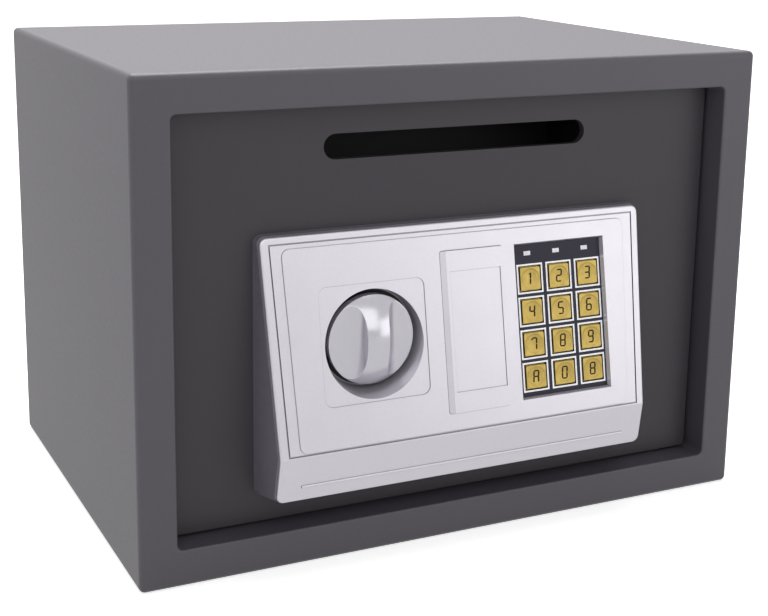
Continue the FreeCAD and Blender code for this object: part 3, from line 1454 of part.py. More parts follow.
def batteries():
    """Cells one above another, turned end for end, with the contacts at their ends."""
    cell_y = cover_back - s.cell_back_gap - s.cell_radius
    left = bay_left + s.bay_wall + s.contact_room
    cells = []
    contacts = []
    for n, z in enumerate(cell_heights()):
        nub_side = 1 if n % 2 else -1
        body_left = left + s.cell_nub if nub_side < 0 else left
        body = rod(f"cell_{n}_can", (body_left, cell_y, z), s.cell_radius, s.cell_length - s.cell_nub, "X")
        nub_left = left if nub_side < 0 else left + s.cell_length - s.cell_nub
        nub = rod(f"cell_{n}_nub", (nub_left, cell_y, z), s.cell_nub_radius, s.cell_nub, "X")
        cells.append(join(f"cell_{n}", rounded(f"cell_{n}_soft", body, s.cell_gap, lambda edge: True), nub))
        for side, wall_x, inward in (("left", left - s.contact_room, 1),
                                     ("right", left + s.cell_length + s.contact_room, -1)):
            low_x = wall_x if inward > 0 else wall_x - s.contact_room
            radii = (s.contact_radius, s.contact_tip_radius) if inward > 0 else (s.contact_tip_radius,
                                                                                  s.contact_radius)
            contacts.append(cone(f"contact_{n}_{side}", (low_x, cell_y, z), *radii, s.contact_room, "X"))
    node("batteries", together("cell_set", *cells))
    node("battery_contacts", together("contact_set", *contacts))


def save_nodes():
    """Checks every object and then writes each sub-part to its own file."""
    doc.recompute()
    for thing in doc.Objects:
        if "Invalid" in thing.State or "Error" in thing.State:
            raise RuntimeError(f"{thing.Name}: {thing.State}")
    for thing in nodes:
        if thing.Shape.isNull() or not thing.Shape.isValid() or not thing.Shape.Solids:
            raise RuntimeError(f"{thing.Label}: no valid shape")
    os.makedirs("parts", exist_ok=True)
    for thing in nodes:
        thing.Shape.exportStep(f"parts/{thing.Label}.step")


for build in (cabinet_shell, door_jambs, back_panel, hinge_bushes, floor_mat, door_plate, hinge_blocks,
              slot_hood, door_tray, inner_cover, fascia, panel_housing, panel_screws, keypad_overlay,
              key_mat, key_cover, knob, spindle_bush, knob_spindle, bolt_carriage, locking_bolts,
              guide_studs, solenoid_frame, solenoid_coil, plunger, plunger_spring, lock_housing,
              override_plug, cable_grommet, control_board, reset_button, battery_tray, battery_cover,
              batteries):
    build()
for key_name, key_x, key_y in key_places():
    key(key_name, key_x, key_y)
save_nodes()
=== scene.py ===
"""Finishes, printed marks, lamps and camera for an electronic safe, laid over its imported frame."""

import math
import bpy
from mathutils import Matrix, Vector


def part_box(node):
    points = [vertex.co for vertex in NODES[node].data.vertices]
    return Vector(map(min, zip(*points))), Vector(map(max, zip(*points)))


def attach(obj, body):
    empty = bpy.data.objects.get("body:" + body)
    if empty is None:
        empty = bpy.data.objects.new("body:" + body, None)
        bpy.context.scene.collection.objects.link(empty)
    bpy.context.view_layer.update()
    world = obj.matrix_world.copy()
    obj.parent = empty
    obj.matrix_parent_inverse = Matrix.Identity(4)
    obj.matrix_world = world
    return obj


bl_info = {
    "name": "Electronic safe finishes",
    "version": (1, 0, 0),
    "blender": (4, 5, 0),
    "location": "3D View > Sidebar > Safe",
    "description": "Gives the safe its powder coat, silver panel, gilt keys and inner metalwork",
    "category": "Object",
}

import bmesh
import bpy
from bpy.props import FloatProperty, FloatVectorProperty, PointerProperty
from mathutils import Euler, Matrix, Vector

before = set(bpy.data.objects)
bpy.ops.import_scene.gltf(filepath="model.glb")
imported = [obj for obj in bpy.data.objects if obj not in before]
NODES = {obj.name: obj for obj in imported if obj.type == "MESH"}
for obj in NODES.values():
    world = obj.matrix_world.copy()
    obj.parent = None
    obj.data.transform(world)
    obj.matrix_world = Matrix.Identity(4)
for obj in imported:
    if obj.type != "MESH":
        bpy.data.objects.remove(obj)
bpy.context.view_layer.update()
MM = 0.001

# The sloped front of the panel: its top edge, and how far it leans out towards its foot.
FACE_TOP = Vector((0, -117.5, 167.4)) * MM
FACE_LEAN = math.atan2(20.0, 105.8)
FACE = Matrix.Translation(FACE_TOP) @ Matrix.Rotation(math.pi / 2 - FACE_LEAN, 4, "X")
OVERLAY_SINK = 2.0
KEY_SINK = 1.6
KEY_DISH = 0.22
KEY_COLUMNS = (38.4, 56.05, 73.7)
KEY_ROWS = (-33.0, -50.25, -67.5, -84.75)
KEY_ORDER = ("123", "456", "789", "a0b")
# Middle of the knob's bowl, across and up, and how far out the painted shade on its floor reaches.
KNOB_WELL_SHADE = (-54.0 * MM, 113.0 * MM, 25.0 * MM)


def linear(code):
    """Turns an sRGB hex colour into the linear values that shaders take."""
    parts = [int(code[i:i + 2], 16) / 255 for i in (1, 3, 5)]
    return [c / 12.92 if c <= 0.04045 else ((c + 0.055) / 1.055) ** 2.4 for c in parts]


def add(tree, kind, inputs=None, **settings):
    """Adds a shader node with its settings, and fills its sockets with values or with other nodes' outputs."""
    made = tree.nodes.new("ShaderNode" + kind)
    for name, value in settings.items():
        setattr(made, name, value)
    for socket, value in (inputs or {}).items():
        if isinstance(value, bpy.types.NodeSocket):
            tree.links.new(value, made.inputs[socket])
        else:
            made.inputs[socket].default_value = value
    return made


def per_metre(size_mm):
    """Pattern scale for a feature of this size."""
    return 1000.0 / size_mm


def finish(name, colour, **sockets):
    """Starts a material: its tree, its shader with the uniform values set on it, and the piece's own coordinates."""
    made = bpy.data.materials.new(name)
    made.use_nodes = True
    tree = made.node_tree
    tree.nodes.clear()
    shader = add(tree, "BsdfPrincipled", {"Base Color": (*colour, 1), **sockets})
    out = add(tree, "OutputMaterial", {"Surface": shader.outputs["BSDF"]})
    where = add(tree, "TexCoord").outputs["Object"]
    made.diffuse_color = (*colour, 1)
    return made, tree, shader, where


def mottle(tree, shader, where, colour, size_mm, depth, detail=2.0):
    """Breaks a colour up a little, lighter and darker, in patches of this size."""
    patches = add(tree, "TexNoise", {"Vector": where, "Scale": per_metre(size_mm), "Detail": detail})
    ramp = add(tree, "ValToRGB", {"Fac": patches.outputs["Fac"]})
    low = [c * (1 - depth) for c in colour]
    high = [min(1, c * (1 + depth)) for c in colour]
    ramp.color_ramp.elements[0].position = 0.3
    ramp.color_ramp.elements[0].color = (*low, 1)
    ramp.color_ramp.elements[1].position = 0.7
    ramp.color_ramp.elements[1].color = (*high, 1)
    tree.links.new(ramp.outputs["Color"], shader.inputs["Base Color"])
    return ramp


def grain(tree, shader, where, size_mm, height_mm, detail=2.0, stretch=(1, 1, 1)):
    """Gives a surface fine bumps of this size and height, stretched along an axis for brushed metal."""
    spread = add(tree, "Mapping", {"Vector": where, "Scale": stretch})
    bumps = add(tree, "TexNoise", {"Vector": spread.outputs["Vector"], "Scale": per_metre(size_mm), "Detail": detail})
    bump = add(tree, "Bump", {"Height": bumps.outputs["Fac"], "Strength": 1.0, "Distance": height_mm * MM})
    tree.links.new(bump.outputs["Normal"], shader.inputs["Normal"])
    return bumps


def gloss_range(tree, shader, where, size_mm, low, high):
    """Lets the roughness drift between two values."""
    drift = add(tree, "TexNoise", {"Vector": where, "Scale": per_metre(size_mm), "Detail": 3.0})
    span = add(tree, "MapRange", {"Value": drift.outputs["Fac"], "From Min": 0.3, "From Max": 0.7,
                                  "To Min": low, "To Max": high})
    tree.links.new(span.outputs["Result"], shader.inputs["Roughness"])


def powder_coat(name, colour, ior):
    """Polyester powder coat on steel: an even satin grey with faint orange peel that breaks up reflections."""
    made, tree, shader, where = finish(name, colour, Roughness=0.44, IOR=ior)
    mottle(tree, shader, where, colour, 1.2, 0.035)
    # The real peel is about 0.6 mm across and is drawn at 1.4 mm, so that it shows at this distance.
    grain(tree, shader, where, 1.4, 0.012)
    gloss_range(tree, shader, where, 2.5, 0.42, 0.46)
    return made


def silver_paint(name, colour, rough, well_shade=None):
    """Silver lacquer on moulded ABS: aluminium flake gives a soft metallic sheen with a fine sparkle."""
    made, tree, shader, where = finish(name, colour, Roughness=0.3, Metallic=0.7)
    # Flake is 0.03 mm across and is drawn at 0.5 mm.
    flake = mottle(tree, shader, where, colour, 0.5, 0.03, 1.0)
    grain(tree, shader, where, 1.6, 0.002)
    gloss_range(tree, shader, where, 14, rough, rough + 0.05)
    # Grooves and corners are darkened by their ambient occlusion: painted shade in the creases of the lacquer.
    crease_shade = add(tree, "AmbientOcclusion", {"Distance": 1.0 * MM}, samples=16)
    unshaded_share = add(tree, "MapRange", {"Value": crease_shade.outputs["AO"], "From Min": 0.4, "From Max": 0.86,
                                        "To Min": 0.1, "To Max": 1.0})
    tone = add(tree, "Mix", {0: unshaded_share.outputs["Result"], 6: (0.02, 0.02, 0.022, 1),
                             7: flake.outputs["Color"]}, data_type="RGBA")
    if well_shade:
        # The floor of the knob's bowl is darkened to near black: painted shade in the deep gap round the knob.
        parts = add(tree, "SeparateXYZ", {"Vector": where})
        across = add(tree, "Math", {0: parts.outputs["X"], 1: -well_shade[0]}, operation="ADD")
        up = add(tree, "Math", {0: parts.outputs["Z"], 1: -well_shade[1]}, operation="ADD")
        flat = add(tree, "CombineXYZ", {"X": across.outputs[0], "Y": up.outputs[0]})
        reach = add(tree, "VectorMath", {0: flat.outputs[0]}, operation="LENGTH")
        share = add(tree, "MapRange", {"Value": reach.outputs["Value"], "From Min": well_shade[2] - 0.4 * MM,
                                       "From Max": well_shade[2] + 0.4 * MM})
        tone = add(tree, "Mix", {0: share.outputs["Result"], 6: (0.006, 0.006, 0.007, 1), 7: tone.outputs[2]},
                   data_type="RGBA")
    tree.links.new(tone.outputs[2], shader.inputs["Base Color"])
    return made


def textured_abs(name, colour, rough=0.5):
    """Spark-eroded ABS: a dull, finely pitted plastic that spreads highlights wide."""
    made, tree, shader, where = finish(name, colour, Roughness=rough, IOR=1.5)
    mottle(tree, shader, where, colour, 5, 0.05)
    # The eroded pits are 0.1 mm across and are drawn at 0.7 mm.
    grain(tree, shader, where, 0.7, 0.012)
    return made


def moulded_plastic(name, colour, rough=0.3):
    """Plain moulded plastic: smooth, slightly wavy from shrinkage, with a clear highlight."""
    made, tree, shader, where = finish(name, colour, Roughness=rough, IOR=1.5)
    mottle(tree, shader, where, colour, 7, 0.04)
    grain(tree, shader, where, 4, 0.01)
    return made


def printed_film(colour):
    """Reverse-printed polyester film: even dark ink under a satin face."""
    made, tree, shader, where = finish("printed_polyester_film", colour, Roughness=0.45, IOR=1.36)
    mottle(tree, shader, where, colour, 3, 0.06)
    grain(tree, shader, where, 0.6, 0.004)
    return made


def screen_ink(name, colour):
    """Screen-printed ink: opaque and dull, and slightly grainy at its edges."""
    made, tree, shader, where = finish(name, colour, Roughness=0.7, IOR=1.3)
    mottle(tree, shader, where, colour, 0.8, 0.05)
    return made


def gilt_brass(colour):
    """Gilt-plated pressed brass: a warm satin shine with faint tarnish, and painted shade in each key's round dish.
    """
    made, tree, shader, where = finish("gilt_plated_brass", colour, Roughness=0.34, Metallic=0.75)
    tarnish = mottle(tree, shader, where, colour, 3.5, 0.1, 3.0)
    bumps = grain(tree, shader, where, 0.8, 0.006, 2.0)
    gloss_range(tree, shader, where, 2.5, 0.3, 0.42)
    # Each key's own box runs from 0 to 1, so the round dish is a distance from its middle.
    parts = add(tree, "SeparateXYZ", {"Vector": add(tree, "TexCoord").outputs["Generated"]})
    flat = add(tree, "CombineXYZ", {"X": parts.outputs["X"], "Y": parts.outputs["Z"]})
    reach = add(tree, "VectorMath", {0: flat.outputs[0], 1: (0.5, 0.5, 0)}, operation="DISTANCE")
    dish = add(tree, "MapRange", {"Value": reach.outputs["Value"], "From Min": 0.34, "From Max": 0.42},
               interpolation_type="SMOOTHSTEP")
    bowl = add(tree, "Bump", {"Height": dish.outputs["Result"], "Strength": 1.0, "Distance": 0.25 * MM})
    fine = add(tree, "Bump", {"Height": bumps.outputs["Fac"], "Strength": 1.0, "Distance": 0.006 * MM,
                              "Normal": bowl.outputs["Normal"]})
    tree.links.new(fine.outputs["Normal"], shader.inputs["Normal"])
    # Inside its round dish each key is a little darker: painted shade in the dip.
    dish_shade = add(tree, "MapRange", {"Value": dish.outputs["Result"], "To Min": 0.95, "To Max": 1.0})
    tone = add(tree, "Mix", {0: 1.0, 6: tarnish.outputs["Color"], 7: dish_shade.outputs["Result"]}, data_type="RGBA",
               blend_type="MULTIPLY")
    tree.links.new(tone.outputs[2], shader.inputs["Base Color"])
    return made


def turned_metal(name, colour, rough=0.3, stretch=(1, 1, 1), bite=0.006):
    """Machined or plated metal: fine tool lines and a gloss that varies from handling."""
    made, tree, shader, where = finish(name, colour, Roughness=rough, Metallic=1.0)
    mottle(tree, shader, where, colour, 2.5, 0.06)
    grain(tree, shader, where, 0.5, bite, 2.0, stretch)
    gloss_range(tree, shader, where, 6, rough * 0.88, rough * 1.2)
    return made


def needle_felt(colour):
    """Needle-punched polyester felt: matted short fibres, matt with a dusty sheen at low angles."""
    made, tree, shader, where = finish("needle_felt", colour, Roughness=0.95)
    shader.inputs["Sheen Weight"].default_value = 0.25
    mottle(tree, shader, where, colour, 1.6, 0.45, 6.0)
    # Fibres are 0.03 mm thick and are drawn as 0.9 mm tufts.
    grain(tree, shader, where, 0.9, 0.35, 8.0)
    return made


def solder_mask(colour):
    """Solder mask over copper: glossy green with paler tracks that run square to each other."""
    made, tree, shader, where = finish("solder_mask", colour, Roughness=0.28)
    parts = add(tree, "SeparateXYZ", {"Vector": where})
    lanes = []
    for axis, pitch in (("X", 5.1), ("Z", 3.8)):
        scaled = add(tree, "Math", {0: parts.outputs[axis], 1: per_metre(pitch)}, operation="MULTIPLY")
        part = add(tree, "Math", {0: scaled.outputs[0]}, operation="FRACT")
        lanes.append(add(tree, "Math", {0: part.outputs[0], 1: 0.14}, operation="LESS_THAN").outputs[0])
    # Tracks stop and start in blocks of 14 mm.
    blocks = add(tree, "TexVoronoi", {"Vector": where, "Scale": per_metre(14)}, feature="F1")
    choose = add(tree, "SeparateColor", {"Color": blocks.outputs["Color"]})
    across = add(tree, "Math", {0: choose.outputs[0], 1: 0.5}, operation="GREATER_THAN")
    pick = add(tree, "Mix", {0: across.outputs[0], 2: lanes[0], 3: lanes[1]}, data_type="FLOAT")
    pale = [min(1, c * 2.4 + 0.02) for c in colour]
    paint = add(tree, "Mix", {0: pick.outputs[0], 6: (*colour, 1), 7: (*pale, 1)}, data_type="RGBA")
    tree.links.new(paint.outputs[2], shader.inputs["Base Color"])
    bump = add(tree, "Bump", {"Height": pick.outputs[0], "Strength": 1.0, "Distance": 0.03 * MM})
    tree.links.new(bump.outputs["Normal"], shader.inputs["Normal"])
    return made


def enamelled_wire(colour):
    """Varnished copper winding: close rings of wire that catch the light as fine lines, with painted shade in the
    grooves between the turns.
    """
    made, tree, shader, where = finish("enamelled_copper_wire", colour, Roughness=0.25, Metallic=0.6)
    # The wire is 0.2 mm thick and is drawn at 0.9 mm.
    rings = add(tree, "TexWave", {"Vector": where, "Scale": per_metre(0.9) / math.tau, "Distortion": 0.4},
                wave_type="BANDS", bands_direction="Z")
    # Between the turns the copper darkens to under half its tone: painted shade in the grooves of the winding.
    ramp = add(tree, "ValToRGB", {"Fac": rings.outputs["Fac"]})
    ramp.color_ramp.elements[0].color = (*[c * 0.45 for c in colour], 1)
    ramp.color_ramp.elements[1].color = (*colour, 1)
    tree.links.new(ramp.outputs["Color"], shader.inputs["Base Color"])
    bump = add(tree, "Bump", {"Height": rings.outputs["Fac"], "Strength": 1.0, "Distance": 0.1 * MM})
    tree.links.new(bump.outputs["Normal"], shader.inputs["Normal"])
    return made


def cell_sleeve(dark, bright, left, right, terminal):
    """Shrink sleeve on dry cells: a dark body, one metallic band and bare ends."""
    made, tree, shader, where = finish("cell_shrink_sleeve", dark, Roughness=0.3, Metallic=0.35)
    along = add(tree, "SeparateXYZ", {"Vector": where}).outputs["X"]
    share = add(tree, "MapRange", {"Value": along, "From Min": left, "From Max": right})
    ramp = add(tree, "ValToRGB", {"Fac": share.outputs["Result"]})
    ramp.color_ramp.interpolation = "CONSTANT"
    bands = ramp.color_ramp.elements
    bands[0].position, bands[0].color = 0.0, (*terminal, 1)
    bands[1].position, bands[1].color = 0.035, (*dark, 1)
    for spot, tone in ((0.70, bright), (0.965, terminal)):
        band = bands.new(spot)
        band.color = (*tone, 1)
    tree.links.new(ramp.outputs["Color"], shader.inputs["Base Color"])
    grain(tree, shader, where, 2.0, 0.01)
    return made


def clear_lens(colour):
    """Frosted acrylic lens over an unlit lamp: milky, with a bright clear face."""
    made, tree, shader, where = finish("frosted_acrylic", colour, Roughness=0.22, IOR=1.49)
    shader.inputs["Transmission Weight"].default_value = 0.15
    mottle(tree, shader, where, colour, 1.2, 0.05)
    return made


def rubber(colour):
    """Moulded nitrile rubber: near black and dull, with a dusty bloom."""
    made, tree, shader, where = finish("nitrile_rubber", colour, Roughness=0.8)
    mottle(tree, shader, where, colour, 2, 0.2, 4.0)
    grain(tree, shader, where, 0.8, 0.02)
    return made


def silicone(colour):
    """Silicone key mat: soft, cloudy and slightly see-through."""
    made, tree, shader, where = finish("silicone_rubber", colour, Roughness=0.55)
    shader.inputs["Subsurface Weight"].default_value = 0.1
    shader.inputs["Subsurface Radius"].default_value = (0.002, 0.002, 0.002)
    mottle(tree, shader, where, colour, 3, 0.05)
    return made


def dress(material, slot, *names):
    """Gives CAD nodes this material; the slot is not used."""
    for name in names:
        piece = NODES[name]
        piece.data.materials.clear()
        piece.data.materials.append(material)


def mark(name, outlines, thick, sink, material, body):
    """Makes thin raised shapes on the panel's face from flat outlines in its own millimetres."""
    shape = bmesh.new()
    for loop, holes in outlines:
        top = [shape.verts.new((x, y, 0)) for x, y in loop]
        if holes:
            inner = [shape.verts.new((x, y, 0)) for x, y in holes]
            for i in range(len(loop)):
                j = (i + 1) % len(loop)
                shape.faces.new((top[i], top[j], inner[j], inner[i]))
        else:
            shape.faces.new(top)
    made = bmesh.ops.extrude_face_region(shape, geom=shape.faces[:])
    lifted = [v for v in made["geom"] if isinstance(v, bmesh.types.BMVert)]
    bmesh.ops.translate(shape, verts=lifted, vec=(0, 0, thick))
    bmesh.ops.recalc_face_normals(shape, faces=shape.faces[:])
    for v in shape.verts:
        v.co = FACE @ (Vector((v.co.x, v.co.y, v.co.z - sink)) * MM)
    mesh = bpy.data.meshes.new(name)
    shape.to_mesh(mesh)
    shape.free()
    mesh.materials.append(material)
    piece = bpy.data.objects.new(name, mesh)
    bpy.context.scene.collection.objects.link(piece)
    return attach(piece, body)


def square(x, y, side, radius=0.0):
    """Corners of a square, rounded if it has a radius."""
    half = side / 2
    if not radius:
        return [(x - half, y - half), (x + half, y - half), (x + half, y + half), (x - half, y + half)]
    points = []
    for n, (sx, sy) in enumerate(((1, 1), (-1, 1), (-1, -1), (1, -1))):
        for k in range(5):
            turn = math.pi / 2 * (n + k / 4)
            points.append((x + sx * (half - radius) + radius * math.cos(turn),
                           y + sy * (half - radius) + radius * math.sin(turn)))
    return points


# Which bars of a seven-bar numeral are on: top, upper right, lower right, foot, lower left, upper left, middle.
BARS = {"0": "abcdef", "1": "bc", "2": "abdeg", "3": "abcdg", "4": "bcfg", "5": "acdfg", "6": "acdefg",
        "7": "abc", "8": "abcdefg", "9": "abcdfg", "a": "abcefg", "b": "abcdefg"}


def numeral(name, x, y, tall, wide, stroke, lean):
    """Outlines of one seven-bar numeral, with mitred ends and a small gap between its bars."""
    w, h, t = wide / 2, tall / 2, stroke / 2
    gap = 0.06
    w -= t
    h -= t
    bars = {"a": ((-w, h), (w, h)), "g": ((-w, 0), (w, 0)), "d": ((-w, -h), (w, -h)),
            "f": ((-w, 0), (-w, h)), "b": ((w, 0), (w, h)), "e": ((-w, -h), (-w, 0)), "c": ((w, -h), (w, 0))}
    outlines = []
    for bar in BARS[name]:
        (ax, ay), (bx, by) = bars[bar]
        if ay == by:
            loop = [(ax + gap, ay), (ax + t + gap, ay - t), (bx - t - gap, by - t), (bx - gap, by),
                    (bx - t - gap, by + t), (ax + t + gap, ay + t)]
        else:
            loop = [(ax, ay + gap), (ax + t, ay + t + gap), (bx + t, by - t - gap), (bx, by - gap),
                    (bx - t, by - t - gap), (ax - t, ay + t + gap)]
        outlines.append(([(x + px + lean * py, y + py) for px, py in loop], None))
    if name == "1":
        top = h + t * 0.4
        loop = [(w - t * 0.2, top - t * 1.2), (w - t * 0.2, top), (w - t * 2.8, top - t * 2.2),
                (w - t * 2.8, top - t * 3.2)]
        outlines = [([(px - w * 0.9, py) for px, py in o], None) for o, _ in outlines]
        outlines.append(([(x + px + lean * py - w * 0.9, y + py) for px, py in loop], None))
    if name == "7":
        loop = [(-w - t, h - t * 0.4), (-w, h - gap - t * 0.2), (-w + t, h - t - gap), (-w + t, h - t * 3.2),
                (-w - t, h - t * 3.2)]
        outlines.append(([(x + px + lean * py, y + py) for px, py in loop], None))
    return outlines


def colour_property(name, description, code):
    return FloatVectorProperty(name=name, description=description, subtype="COLOR", size=3, min=0, max=1,
                               default=linear(code))


class SafeColours(bpy.types.PropertyGroup):
    powder: colour_property("Cabinet", "Powder coat of the cabinet", "#4d4a51")
    door: colour_property("Door", "Powder coat of the door", "#39363b")
    cover: colour_property("Door box", "Powder coat of the box on the door's back", "#5c5961")
    hood: colour_property("Hood", "Dark inside of the deposit slot", "#121214")
    silver: colour_property("Silver", "Lacquer of the keypad panel", "#cfccd3")
    knob: colour_property("Knob", "Satin plating of the knob", "#c6c4cb")
    housing: colour_property("Housing", "Dark plastic behind the silver front", "#6b6871")
    film: colour_property("Keypad film", "Ink of the keypad's overlay", "#232130")
    white_ink: colour_property("White ink", "Squares printed round the keys", "#fdfdff")
    black_ink: colour_property("Black ink", "Line inside each printed square", "#07070b")
    gilt: colour_property("Gilt", "Plating of the keys", "#b59c54")
    numeral: colour_property("Numerals", "Ink of the numerals on the keys", "#20130d")
    lens: colour_property("Lenses", "Frosted lamp lenses", "#f2f2f6")
    felt: colour_property("Felt", "Mat on the cabinet's floor", "#37373c")
    steel: colour_property("Zinc plate", "Bolts, carriage and screws", "#b9bab8")
    brass: colour_property("Brass", "Hinge bushes and spindle bush", "#c9a45a")
    board: colour_property("Circuit board", "Green of the boards", "#1d5a35")
    copper: colour_property("Winding", "Solenoid's copper wire", "#b5632b")
    red: colour_property("Button", "Code reset button", "#b3201d")


class SafeMarks(bpy.types.PropertyGroup):
    numeral_height: FloatProperty(name="Numeral height", description="Height of the numerals on the keys",
                                  default=6.8 * MM, min=0.002, max=0.01, unit="LENGTH")
    numeral_width: FloatProperty(name="Numeral width", description="Width of the numerals on the keys",
                                 default=3.5 * MM, min=0.001, max=0.008, unit="LENGTH")
    numeral_stroke: FloatProperty(name="Numeral stroke", description="Thickness of a numeral's bars",
                                  default=0.68 * MM, min=0.0002, max=0.002, unit="LENGTH")
    numeral_lean: FloatProperty(name="Numeral lean", description="How far the numerals lean to the right",
                                default=math.radians(4), min=0, max=0.5, unit="ROTATION")
    square_side: FloatProperty(name="Printed square", description="Outside of the white square round a key",
                               default=15.6 * MM, min=0.012, max=0.017, unit="LENGTH")
    square_line: FloatProperty(name="Printed line", description="Thickness of the white square's line",
                               default=0.9 * MM, min=0.0002, max=0.002, unit="LENGTH")
    ink_thick: FloatProperty(name="Ink", description="Thickness of the printed ink",
                             default=0.04 * MM, min=0.00001, max=0.0002, unit="LENGTH")


class SafeStage(bpy.types.PropertyGroup):
    lamp_top: FloatProperty(name="Overhead lamp", description="Power of the soft box above",
                            default=36, min=0, unit="POWER")
    lamp_side: FloatProperty(name="Side lamp", description="Power of the soft box at the left",
                             default=4.5, min=0, unit="POWER")
    lamp_front: FloatProperty(name="Front lamp", description="Power of the broad soft box at the front",
                              default=10.5, min=0, unit="POWER")
    lamp_sheen: FloatProperty(name="Sheen lamp", description="Power of the box that the silver panel reflects",
                              default=4.2, min=0, unit="POWER")
    room: FloatProperty(name="Room light", description="Light from all round", default=0.38, min=0, max=2)
    lens: FloatProperty(name="Lens", description="Focal length of the camera", default=67.69 * MM, unit="CAMERA",
                        min=0.01)


class SAFE_OT_coat_steel(bpy.types.Operator):
    """Powder-coats the folded steel of the cabinet and the door"""
    bl_idname = "safe.coat_steel"
    bl_label = "Coat the steel"

    def execute(self, context):
        paint = context.scene.safe_colours
        dress(powder_coat("powder_coated_cabinet", paint.powder, 1.48), "grey_paint", "cabinet_shell", "door_jambs",
              "back_panel")
        dress(powder_coat("powder_coated_door", paint.door, 1.4), "grey_paint", "door_plate")
        dress(powder_coat("powder_coated_cover", paint.cover, 1.48), "grey_paint", "door_tray", "inner_cover")
        # The hood is near black: a dark finish on the part, and painted shade that makes the deposit slot read black.
        dress(textured_abs("dark_hood_painted_shade", paint.hood, 0.7), "grey_paint", "slot_hood")
        return {"FINISHED"}


class SAFE_OT_lay_mat(bpy.types.Operator):
    """Lays the felt mat on the cabinet's floor"""
    bl_idname = "safe.lay_mat"
    bl_label = "Lay the mat"

    def execute(self, context):
        dress(needle_felt(context.scene.safe_colours.felt), "carpet", "floor_mat")
        return {"FINISHED"}


class SAFE_OT_finish_panel(bpy.types.Operator):
    """Lacquers the keypad panel, the knob and the little cover"""
    bl_idname = "safe.finish_panel"
    bl_label = "Finish the panel"

    def execute(self, context):
        paint = context.scene.safe_colours
        dress(silver_paint("silver_lacquered_abs", paint.silver, 0.3, KNOB_WELL_SHADE), "silver_plastic", "fascia")
        dress(silver_paint("silver_lacquered_cover", paint.silver, 0.3), "silver_plastic", "key_cover")
        dress(silver_paint("satin_plated_knob", paint.knob, 0.19), "silver_plastic", "knob")
        dress(textured_abs("textured_abs_housing", paint.housing), "dark_plastic", "panel_housing")
        return {"FINISHED"}


class SAFE_OT_print_keypad(bpy.types.Operator):
    """Prints the film round the keys and sets the lamp lenses in it"""
    bl_idname = "safe.print_keypad"
    bl_label = "Print the keypad"

    def execute(self, context):
        paint, marks = context.scene.safe_colours, context.scene.safe_marks
        dress(printed_film(paint.film), "overlay_plastic", "keypad_overlay")
        dress(clear_lens(paint.lens), "lens_plastic", "led_lenses")
        dress(silicone(linear("#8f9094")), "rubber", "key_mat")
        side, line = marks.square_side / MM, marks.square_line / MM
        white, black = [], []
        for y in KEY_ROWS:
            for x in KEY_COLUMNS:
                white.append((square(x, y, side), square(x, y, side - 2 * line)))
                black.append((square(x, y, side - 2 * line), square(x, y, 12.95)))
        thick = marks.ink_thick / MM
        mark("keypad_white_squares", white, thick, OVERLAY_SINK, screen_ink("white_screen_ink", paint.white_ink),
             "door")
        mark("keypad_black_lines", black, thick, OVERLAY_SINK, screen_ink("black_screen_ink", paint.black_ink),
             "door")
        return {"FINISHED"}


class SAFE_OT_gild_keys(bpy.types.Operator):
    """Plates the twelve keys and prints a numeral on each"""
    bl_idname = "safe.gild_keys"
    bl_label = "Gild the keys"

    def execute(self, context):
        paint, marks = context.scene.safe_colours, context.scene.safe_marks
        plating = gilt_brass(paint.gilt)
        ink = screen_ink("brown_screen_ink", paint.numeral)
        for y, row in zip(KEY_ROWS, KEY_ORDER):
            for x, name in zip(KEY_COLUMNS, row):
                dress(plating, "key_metal", f"key_{name}")
                outlines = numeral(name, x, y, marks.numeral_height / MM, marks.numeral_width / MM,
                                   marks.numeral_stroke / MM, math.tan(marks.numeral_lean))
                mark(f"numeral_{name}", outlines, KEY_DISH + marks.ink_thick / MM, KEY_SINK + KEY_DISH, ink,
                     f"key_{name}")
        return {"FINISHED"}


class SAFE_OT_finish_bolt_work(bpy.types.Operator):
    """Plates the hinges, bolts, screws and the override lock"""
    bl_idname = "safe.finish_bolt_work"
    bl_label = "Finish the bolt work"

    def execute(self, context):
        paint = context.scene.safe_colours
        dress(turned_metal("zinc_plated_steel", paint.steel, 0.34), "steel", "bolt_carriage", "knob_crank",
              "cover_screws", "panel_screws", "crank_screw", "cam_screw", "solenoid_screws", "bolt_nuts",
              "guide_studs", "solenoid_frame", "override_cam", "knob_spindle", "hinge_blocks")
        bright = turned_metal("nickel_plated_steel", linear("#c9c9c6"), 0.18)
        dress(bright, "plated_steel", "locking_bolts", "lock_housing", "lock_nut")
        dress(bright, "steel", "hinge_pins", "plunger", "plunger_spring", "battery_contacts")
        dress(turned_metal("turned_brass", paint.brass, 0.34), "brass", "spindle_bush", "override_plug")
        dress(turned_metal("blackened_bronze", linear("#3a3330"), 0.45), "brass", "hinge_bushes")
        return {"FINISHED"}


class SAFE_OT_finish_electronics(bpy.types.Operator):
    """Finishes the boards, the coil, the battery bay and the reset button"""
    bl_idname = "safe.finish_electronics"
    bl_label = "Finish the electronics"

    def execute(self, context):
        paint = context.scene.safe_colours
        dress(solder_mask(paint.board), "board", "control_board", "keypad_board")
        dress(enamelled_wire(paint.copper), "copper_winding", "solenoid_coil")
        dress(moulded_plastic("moulded_black_abs", linear("#1c1c1e"), 0.4), "black_plastic", "battery_tray",
              "battery_cover")
        dress(moulded_plastic("moulded_red_abs", paint.red), "red_plastic", "reset_button")
        dress(rubber(linear("#1b1b1c")), "rubber", "cable_grommet")
        low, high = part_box("batteries")
        dress(cell_sleeve(linear("#202228"), linear("#b98a3c"), low.x, high.x, linear("#b8b8b6")), "cell_jacket",
              "batteries")
        return {"FINISHED"}


